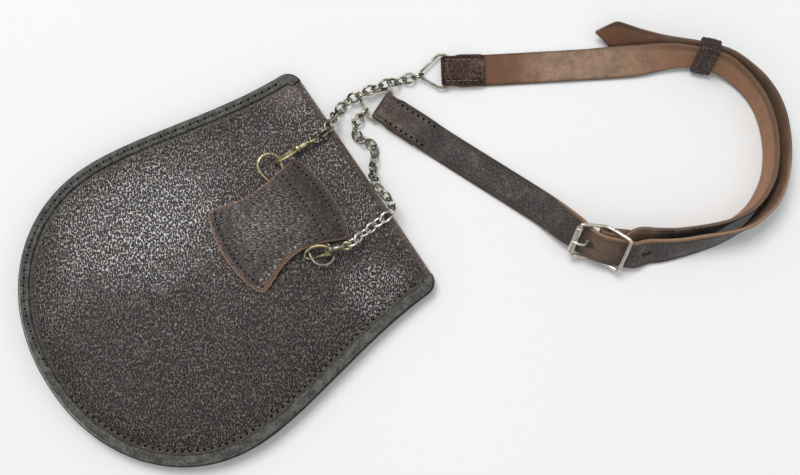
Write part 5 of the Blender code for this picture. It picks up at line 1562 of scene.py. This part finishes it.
def punch_mesh(spot, axis, side):
    """An oval cutter for one buckle hole."""
    across = axis.cross(side).normalized()
    ring = [side * a + across * b for a, b in oval(HOLE_HALF_LENGTH, HOLE_HALF_WIDTH, 10)]
    depths = (-HOLE_CUT_REACH, HOLE_CUT_REACH)
    return loft([[spot + axis * depth + point for point in ring] for depth in depths])


def section_points(half):
    """(across, height, kind) round a strap: kind 0 grain, 1 flesh, 2 cut edge."""
    deep = STRAP_WALL / 2
    fit = min(1.0, half / (STRAP_WIDTH / 2))
    grain = [(half - inset * fit, deep - below * fit, 0) for inset, below in GRAIN_PROFILE]
    flesh = [(-half + inset * fit, below * fit - deep, 1) for inset, below in FLESH_PROFILE]
    pairs = [*grain, (0.0, deep, 0), *((-e, g, 0) for e, g, _ in grain[::-1]), (-half - 0.04, 0.0, 2)]
    return pairs + [*flesh, (0.0, -deep, 1), *((-e, g, 1) for e, g, _ in flesh[::-1]), (half + 0.04, 0.0, 2)]


def ribbon_places(stations, spacing, narrow=None):
    """(middle, edge, grain, width share) along a strap through its stations."""
    path = spline([Vector((*place, lean / 10)) for place, lean in stations], spacing)
    middles = [point.to_3d() for point in path]
    remaining = walked(middles)[-1]
    places = []
    for k, (point, place) in enumerate(zip(path, middles)):
        behind = middles[max(k - 1, 0)]
        remaining -= (place - behind).length
        along = (middles[min(k + 1, len(path) - 1)] - behind).normalized()
        edge = tilted(xyz(along.x, along.y).normalized(), math.radians(point.w * 10))[0]
        edge = (edge - along * edge.dot(along)).normalized()
        places.append((place, edge, along.cross(edge), narrow(remaining) if narrow else 1.0))
    return places


def folded_places(points, edge, spacing):
    """The same for a stretch that doubles back on itself."""
    path = spline(points, spacing)
    places = []
    for k, place in enumerate(path):
        along = (path[min(k + 1, len(path) - 1)] - path[max(k - 1, 0)]).normalized()
        across = (edge - along * edge.dot(along)).normalized()
        places.append((place, across, along.cross(across), 1.0))
    return places


def middles_of(places):
    return [place for place, _, _, _ in places]


def strap_object(name, places, marker, sewn=(0.0, 0.0, 0.0), patch_start=None):
    """A strap's mesh; marker(travelled, across, kind) gives its marks, and sewn
    the needle rows: from the middle, start and end along the strap."""
    rings, spots, marks, seams, kinds = [], [], [], [], []
    reach = walked(middles_of(places))
    for travelled, (place, edge, grain, share) in zip(reach, places):
        section = section_points(strap_width(place) / 2 * share)
        rings.append(on_table([place + edge * e + grain * g for e, g, _ in section]))
        for e, g, kind in section:
            spots.append((travelled, e, 40.0 * kind))
            marks.append(marker(travelled, e / max(share, 0.06), kind))
            holed = kind == 0 and sewn[1] < travelled < sewn[2]
            seams.append((travelled, abs(e) - sewn[0] if holed else NO_SEAM, 0.0))
    for travelled in reach[:-1]:
        for (_, _, first), (_, _, second) in zip(section, section[1:] + section[:1]):
            kind = 2 if 2 in (first, second) else first
            patched = patch_start and kind == 0 and travelled > patch_start - PATCH_EARLY
            kinds.append(3 if patched else kind)
    kinds += [2, 2]
    looks = STRAP_LOOKS if patch_start else STRAP_LOOKS[:3]
    return mesh_from(name, loft(rings), looks, spots=spots, marks=marks, seams=seams, indices=kinds)


def seam_threads(places, rows, pitch, start, end, height):
    """Threads of straight rows along a strap, on its grain side."""
    reach = walked(middles_of(places))

    def surface(distance, across):
        after = next((i for i, r in enumerate(reach) if r > distance), len(reach) - 1)
        share = (distance - reach[after - 1]) / max(reach[after] - reach[after - 1], 1e-6)
        middle, side, grain = (a.lerp(b, share) for a, b in zip(places[after - 1][:3], places[after][:3]))
        up = grain.normalized()
        return middle + side * across + up * height, up

    threads = []
    for across in rows:
        distance = start
        while distance + pitch <= end:
            first, up = surface(distance + pitch * 0.14, across)
            threads.append((first, surface(distance + pitch * 0.86, across)[0], up))
            distance += pitch
    return threads


def tail_places():
    """The holed strap's folded end, and the rest of it."""
    start = strap_stations(TAIL_ROUTE[:1])[0][0]
    bar = Vector(TRIANGLES[1]["bar"])
    along = (start - bar).to_2d().to_3d().normalized()
    edge = xyz(-along.y, along.x)
    lap = [xyz(bar.x, bar.y, STRAP_WALL / 2) + along * distance for distance in (TAIL_LAP, 20.0, 13.0, 6.0)]
    turn = fold_round(bar, -along, -UP, FOLD_RADIUS)
    first = folded_places([*lap, *turn, start], edge, 1.1)[:-1]
    within = [(in_buckle(*place), lean) for *place, lean in TAIL_IN_BUCKLE]
    stations = strap_stations(TAIL_ROUTE) + within + strap_stations(TAIL_ROUTE_AFTER)
    return first, ribbon_places(stations, 1.5, taper)


def groove(across, place, width):
    """1 along a line on both sides of a strap, falling off to 0 beside it."""
    return math.exp(-(((abs(across) - place) / width) ** 2))


def tail_marks(travelled, across, kind):
    """Wear of the holed strap: at the fold, round the buckle and along its edges."""
    ragged = noise_at(travelled / 5.0, across / 5.0, 2.0)
    off_middle = abs(across)
    tan = smooth_step((travelled - 118) / 45) * (1 - smooth_step((travelled - 318) / 40))
    if kind == 1:
        tip = smooth_step((travelled - 440) / 40)
        edge = smooth_step((off_middle - 8.6 + 1.4 * tip) / (1.0 + 0.8 * tip))
        # The flesh side's wear of 0.55 and up darkens it throughout: wear, and painted shade on the loop's
        # outer strap
        return 0.55 + 0.25 * tip + 0.2 * ragged * tip, (0.6 + 0.25 * tip) * edge * (1 - tan), 0.6 * tip
    if kind == 2:
        return (tan if across > 0 else 0.3 * tan), 0.0, 0.0
    band = 0.7 + 1.5 * smooth_step((travelled - 140) / 30)
    # line: painted highlight on the tooled ridge beside each edge, as wear and bloom
    line = groove(across, 7.75, 0.30)
    wear = max(
        (0.12 + 0.15 * ragged) * smooth_step((66 - travelled + 8 * ragged) / 20),
        0.25 * smooth_step((off_middle - 9.1 + 0.3 * ragged) / 0.5),
        0.95 * tan * smooth_step((across - (9.9 - band) + 0.35 * ragged) / 0.6),
        0.50 * smooth_step(1 - abs(travelled - 192) / 22 + 0.5 * ragged),
        0.42 * line,
    )
    near_edge = smooth_step((off_middle - 8.3) / 0.8) * (1 - tan)
    # Painted shade in the two tooled grooves, and darker near the edges
    shade = 0.8 * (groove(across, 8.1, 0.12) + groove(across, 7.15, 0.12)) + 0.45 * near_edge
    smudge = smooth_step(0.5 + 1.6 * noise_at(travelled / 13.0, across / 13.0, 5.0))
    later = 0.55 * smooth_step((travelled - 205) / 14) + 0.3 * smooth_step((travelled - 275) / 40)
    return wear, min(0.85, shade), min(1.0, 0.35 * smudge + later + 0.8 * line)


def buckle_marks(travelled, across, kind, patch_start):
    """Wear of the buckle's strap: its far end is the dark patch over the triangle."""
    ragged = noise_at(travelled / 5.0, across / 5.0, 7.0)
    edge = smooth_step((abs(across) - 8.4 + 0.3 * ragged) / 1.1)
    if kind == 1:
        beside_patch = smooth_step((travelled - patch_start + 62 + 7 * ragged) / 34)
        glow = 0.85 * smooth_step((travelled - 60) / 20)
        glow *= 1 - 0.85 * smooth_step((travelled - 240 + 14 * ragged) / 60)
        upper = 0.55 * smooth_step((across - 6.2 + 0.4 * ragged) / 1.4) * smooth_step(glow)
        return 0.9 * beside_patch, max(0.55 * edge, upper), glow
    if kind == 2:
        return 0.30, 0.0, 0.0
    patch = smooth_step((travelled - patch_start + 6) / 3)
    rubbed = noise_at(travelled / 7.0, across / 7.0, 3.0)
    worn = 0.6 * patch * smooth_step(0.1 + 1.4 * rubbed) * (1 - edge)
    handled = 0.55 * (1 - smooth_step((travelled - 50) / 25))
    return max(0.15 * edge, worn, handled), 0.6 * edge * patch, 0.2 * patch + handled


def build_tail_strap():
    """The strap with the holes, cut where the prong goes in and just past the buckle."""
    first, onward = tail_places()
    lead = walked(middles_of(first + onward[:1]))[-1]
    half = STRAP_WIDTH / 2 - SEAM_INSET
    sewn = (half, lead + 0.5, lead + TAIL_LAP + 4)
    obj = strap_object("holed_strap", first + onward, tail_marks, sewn)
    along, _, grain = buckle_axes()
    place, lean = strap_stations(TAIL_ROUTE_AFTER[:1])[0]
    next_grain = tilted(xyz(1, 0), math.radians(lean))[1]
    cuts = ((in_buckle(HOLE_AT, 0, 4.6), grain, along), (place + xyz(-2.0, 0), next_grain, xyz(1, 0)))
    punches = [mesh_from(f"punch_{k}", punch_mesh(*cut), ["strap_edge"]) for k, cut in enumerate(cuts)]
    combined(obj, punches, "DIFFERENCE")
    piece(obj, node="tail_strap")
    start = (math.ceil(lead / TAIL_PITCH) + 0.5) * TAIL_PITCH - lead
    threads = seam_threads(onward, (-half, half), TAIL_PITCH, start, TAIL_LAP + 4, STRAP_WALL / 2 - 0.04)
    sew("tail_stitches", threads, "rim_thread", STRAP_THREAD, "strap_leather")


def buckle_strap_places():
    """The strap's folded end behind the buckle, its length, and its far end's fold."""
    along, edge, grain = buckle_axes()
    clear = BUCKLE_WIRE + GAP + STRAP_WALL / 2
    lap = ((BUCKLE_END_LAP, 2.0, 3.0), (13.0, 1.5, 2.1), (7.0, 0.6, 0.8), (3.0, 0.0, 0.0))
    lap = [in_buckle(distance, rise, -clear - drop) for distance, rise, drop in lap]
    turn = fold_round(in_buckle(0, 0, 0), -along, -grain, clear)
    outer = ((3.4, 2.2, 44.0), (8.0, 0.7, 47.0), (14.0, -1.3, 51.0))
    outer = [(in_buckle(distance, 0, height), lean) for distance, height, lean in outer]
    first = folded_places([*lap, *turn, outer[0][0]], edge, 1.1)[:-1]
    stations = outer + strap_stations(BUCKLE_STRAP_AFTER)
    end, bar = stations[-1][0], Vector(TRIANGLES[0]["bar"])
    onward = (bar - end).to_2d().to_3d().normalized()
    turn = fold_round(bar, onward, -UP, FOLD_RADIUS)
    above = STRAP_WALL * 1.5 + GAP
    back = ((5.0, bar.z + FOLD_RADIUS - 0.5), (11.0, above + 0.5), (17.0, above), (BUCKLE_STRAP_LAP, above))
    back = [xyz(bar.x, bar.y, height) - onward * distance for distance, height in back]
    last = folded_places([end, *turn, *back], xyz(onward.y, -onward.x), 1.1)[1:]
    narrowed = [
        (place, side, up, 1.0 - 0.10 * smooth_step((k - len(last) + 3) / 2))
        for k, (place, side, up, _) in enumerate(last)
    ]
    return first, ribbon_places(stations, 1.5), narrowed


def build_buckle_strap():
    """The strap from the buckle's middle bar to the first triangle."""
    first, middle, last = buckle_strap_places()
    patch_start = walked(middles_of(first + middle))[-1]

    def marks(travelled, across, kind):
        return buckle_marks(travelled, across, kind, patch_start)

    obj = strap_object("buckle_side_strap", first + middle + last, marks, patch_start=patch_start)
    cutter = box_mesh((-5.0, 5.4), (-1.6, 1.6), (-5.0, 4.6))
    slot = mesh_from("prong_slot", cutter, ["strap_edge"], buckle_frame())
    combined(obj, [slot], "DIFFERENCE")
    piece(obj, node="buckle_strap")
    half = STRAP_WIDTH / 2 - PATCH_SEAM_INSET
    end = walked(middles_of(last))[-1] - 2.0
    threads = seam_threads(last, (half, -half - 0.6), PATCH_PITCH, 10.5, end, STRAP_WALL / 2 - 0.02)
    sew("patch_stitches", threads, "pale_thread", STRAP_THREAD, "strap_leather")


# ---------------------------------------------------------- buckle and keeper


# The prong: distance along from the middle bar, and height outwards
PRONG_ROUTE = (
    (-3.4, 2.3), (-5.0, 2.9), (-6.6, 4.2), (-8.2, 6.4), (-9.8, 8.6), (-12.2, 9.8), (-17.2, 9.8),
)  # fmt: skip


def build_buckle():
    """Frame bent at its middle bar, roller, and prong."""
    place = buckle_frame()
    half, tall = BUCKLE_HALF_LENGTH, BUCKLE_HALF_HEIGHT
    outline = []
    for sign, out in ((-1, LEFT_BAR_OUT), (1, RIGHT_BAR_OUT)):
        quarter = (
            (half, tall - 1.6, out), (half - 0.5, tall - 0.5, out - 0.2), (half - 1.6, tall, out - 0.6),
            (1.4, tall, 0.5),
        )  # fmt: skip
        outline += [xyz(sign * x, -sign * y, z) for x, y, z in quarter[2::-1]]
        outline += [xyz(sign * x, sign * y, z) for x, y, z in quarter]
        outline.append(xyz(-sign * 1.4, sign * tall, 0.5))
    rails = wire(softened(outline), BUCKLE_WIRE, 16, UP, True)
    body = mesh_from("buckle_rails", rails, ["nickel"], place)
    bar = wire([xyz(0, -tall), xyz(0, 0), xyz(0, tall)], 1.0, 16, (1, 0, 1))
    combined(body, [mesh_from("buckle_bar", bar, ["nickel"], place)], "UNION")
    piece(body, node="buckle_frame")
    end = tall - 2.9
    inner, outer = BUCKLE_WIRE + 0.25, ROLLER_RADIUS
    profile = ((outer - 0.15, -end), (outer, -end + 0.15), (outer, end - 0.15), (outer - 0.15, end))
    profile += ((inner, end), (inner, -end))
    tube = []
    for radius, y in profile:
        tube.append([xyz(a - half, y, LEFT_BAR_OUT + b) for a, b in oval(radius, radius, 36)])
    simple("buckle_tube", loft(tube, True), "nickel", "worn_nickel", "buckle_roller", place, 35)
    angles = [math.radians(-100 + 245 * k / 24) for k in range(25)]
    path = [xyz(PRONG_LOOP * math.cos(angle), 0, PRONG_LOOP * math.sin(angle)) for angle in angles]
    path += spline([(x, 0, z) for x, z in PRONG_ROUTE], 0.7)
    radii = [PRONG_WIRE * min(1.0, 0.45 + 0.12 * (len(path) - 1 - k)) for k in range(len(path))]
    mesh = wire(path, radii, 14, (0, 1, 0))
    simple("buckle_tongue", mesh, "nickel", "worn_nickel", "buckle_prong", place)


def keeper_frame():
    lean = math.radians(KEEPER_LEAN)
    along = heading_to(KEEPER_HEADING)
    rest = STRAP_WIDTH / 2 * math.sin(lean) + STRAP_WALL / 2 * abs(math.cos(lean))
    return frame_matrix((*KEEPER_PLACE, rest + KEEPER_LIFT), along, *tilted(along, lean))


def keeper_section(scale, sink):
    """The loop's section, from its inner side, scale 0, to its outer side, 1."""
    half_tall = STRAP_WIDTH / 2 + KEEPER_ROOM + scale * KEEPER_WALL - sink
    half_deep = STRAP_WALL + KEEPER_ROOM + scale * KEEPER_WALL - sink
    corner = 0.5 + scale * 1.2
    flat_half, deep_half = half_tall - corner, half_deep - corner
    points = []
    for sx, sy, first in ((1, 1, 0), (-1, 1, 90), (-1, -1, 180), (1, -1, 270)):
        for step in range(7):
            angle = math.radians(first + 15 * step)
            across, deep = corner * math.cos(angle), corner * math.sin(angle)
            points.append((sx * flat_half + across, sy * deep_half + deep))
        if sx * sy > 0:
            points += [(sx * flat_half * (1 - 2 * k / 14), sy * half_deep) for k in range(1, 14)]
    return points


def build_keeper():
    """Sewn leather loop round both straps, rounded at its cut edges."""
    half = KEEPER_LENGTH / 2
    # share from inside to outside, distance in from the edge, sink
    edge_rows = (
        (0.55, 0.0, 0.0), (1.0, 0.2, 0.35), (1.0, 0.7, 0.05), (1.0, 1.5, 0.0), (1.0, 2.1, 0.18),
        (1.0, 2.7, 0.0), (1.0, half - 1.6, -0.12),
    )  # fmt: skip
    rows = [(0.0, -half, 0.0), (0.0, half, 0.0)]
    rows += [(scale, half - inward, sink) for scale, inward, sink in edge_rows]
    rows += [(scale, inward - half, sink) for scale, inward, sink in edge_rows[::-1]]
    rings, spots, marks = [], [], []
    for scale, station, sink in rows:
        section = keeper_section(scale, sink)
        edge = smooth_step((abs(station) - half + 1.4) / 1.2)
        rings.append([xyz(station, e, g) for e, g in section])
        spots += [(station, around, 10 * scale) for around in walked([Vector(place) for place in section])]
        marks += [(0.55 * edge + 0.2, 0.0, 0.6)] * len(section)
    layers = {"spots": spots, "marks": marks, "seams": [(0.0, NO_SEAM, 0.0)] * len(spots)}
    matrix = keeper_frame()
    mesh = loft(rings, True)
    simple("keeper_loop", mesh, "keeper", "keeper_leather", "strap_keeper", SHIFT @ matrix, 50, **layers)
    threads = []
    top = STRAP_WALL + KEEPER_ROOM + KEEPER_WALL - 0.05
    for station in (2.1 - half, half - 2.1):
        for k in range(6):
            for side in (-1, 1):
                ends = [xyz(station, -8.2 + 2.8 * k + step, side * top) for step in (0.35, 2.3)]
                up = (matrix.to_3x3() @ (UP * side)).normalized()
                threads.append((*(placed(matrix, end) for end in ends), up))
    sew("keeper_stitches", threads, "pale_thread", 0.2, "keeper_leather")


# ------------------------------------------------------- floor, light, camera


def build_floor():
    bm = bmesh.new()
    bmesh.ops.create_grid(bm, x_segments=2, y_segments=2, size=3.0)
    mesh = bpy.data.meshes.new("floor")
    bm.to_mesh(mesh)
    bm.free()
    n = Nodes("floor_look")
    spot = n.add("TexCoord", {})["Object"]
    colour = n.blend(n.noise(spot, 2.2, 2.0, 0.5), FLOOR_LOW, FLOOR_HIGH)
    mesh.materials.append(n.finish(colour, 0.85, n.bump(n.noise(spot, 900.0, 2.0), 0.02)))
    floor = bpy.data.objects.new("floor", mesh)
    floor.location.z = -0.0002
    bpy.context.scene.collection.objects.link(floor)


def build_light():
    """A pale surround, brighter overhead, and two soft lights."""
    world = bpy.data.worlds.new("studio")
    world.use_nodes = True
    tree = world.node_tree
    background = tree.nodes["Background"]
    direction = tree.nodes.new("ShaderNodeTexCoord").outputs["Generated"]
    parts = tree.nodes.new("ShaderNodeSeparateXYZ")
    tree.links.new(direction, parts.inputs[0])
    fade = tree.nodes.new("ShaderNodeMapRange")
    fade.interpolation_type = "SMOOTHSTEP"
    tree.links.new(parts.outputs[2], fade.inputs["Value"])
    for socket, value in ((1, 0.0), (2, 0.75), (3, WORLD_LOW), (4, WORLD_HIGH)):
        fade.inputs[socket].default_value = value
    tree.links.new(fade.outputs["Result"], background.inputs["Strength"])
    background.inputs["Color"].default_value = (0.97, 0.985, 1.0, 1.0)
    scene = bpy.context.scene
    scene.world = world
    for name, place, width, watts in LIGHTS:
        data = bpy.data.lights.new(name, "AREA")
        data.shape = "SQUARE"
        data.size = width
        data.energy = watts
        lamp = bpy.data.objects.new(name, data)
        lamp.location = place
        lamp.rotation_euler = (-Vector(place)).to_track_quat("-Z", "Y").to_euler()
        scene.collection.objects.link(lamp)


def build_camera():
    data = bpy.data.cameras.new("camera")
    data.lens = CAMERA_LENS
    data.sensor_width = 36.0
    camera = bpy.data.objects.new("camera", data)
    up = math.radians(CAMERA_ELEVATION)
    forward = xyz(0, math.cos(up), -math.sin(up))
    camera.location = Vector(ORIGIN_SHIFT) * MM - forward * CAMERA_DISTANCE
    camera.rotation_euler = (math.radians(90 - CAMERA_ELEVATION), 0, 0)
    scene = bpy.context.scene
    scene.collection.objects.link(camera)
    scene.camera = camera
    scene.view_settings.view_transform = "Standard"


def main():
    build_camera()
    build_floor()
    build_light()
    build_back_panel()
    build_front_panel()
    build_edge_binding()
    build_back_tab()
    build_rings()
    for row in CLASPS:
        build_clasp(row)
    build_chains()
    build_triangles()
    build_tail_strap()
    build_buckle_strap()
    build_buckle()
    build_keeper()


main()
bpy.context.view_layer.update()
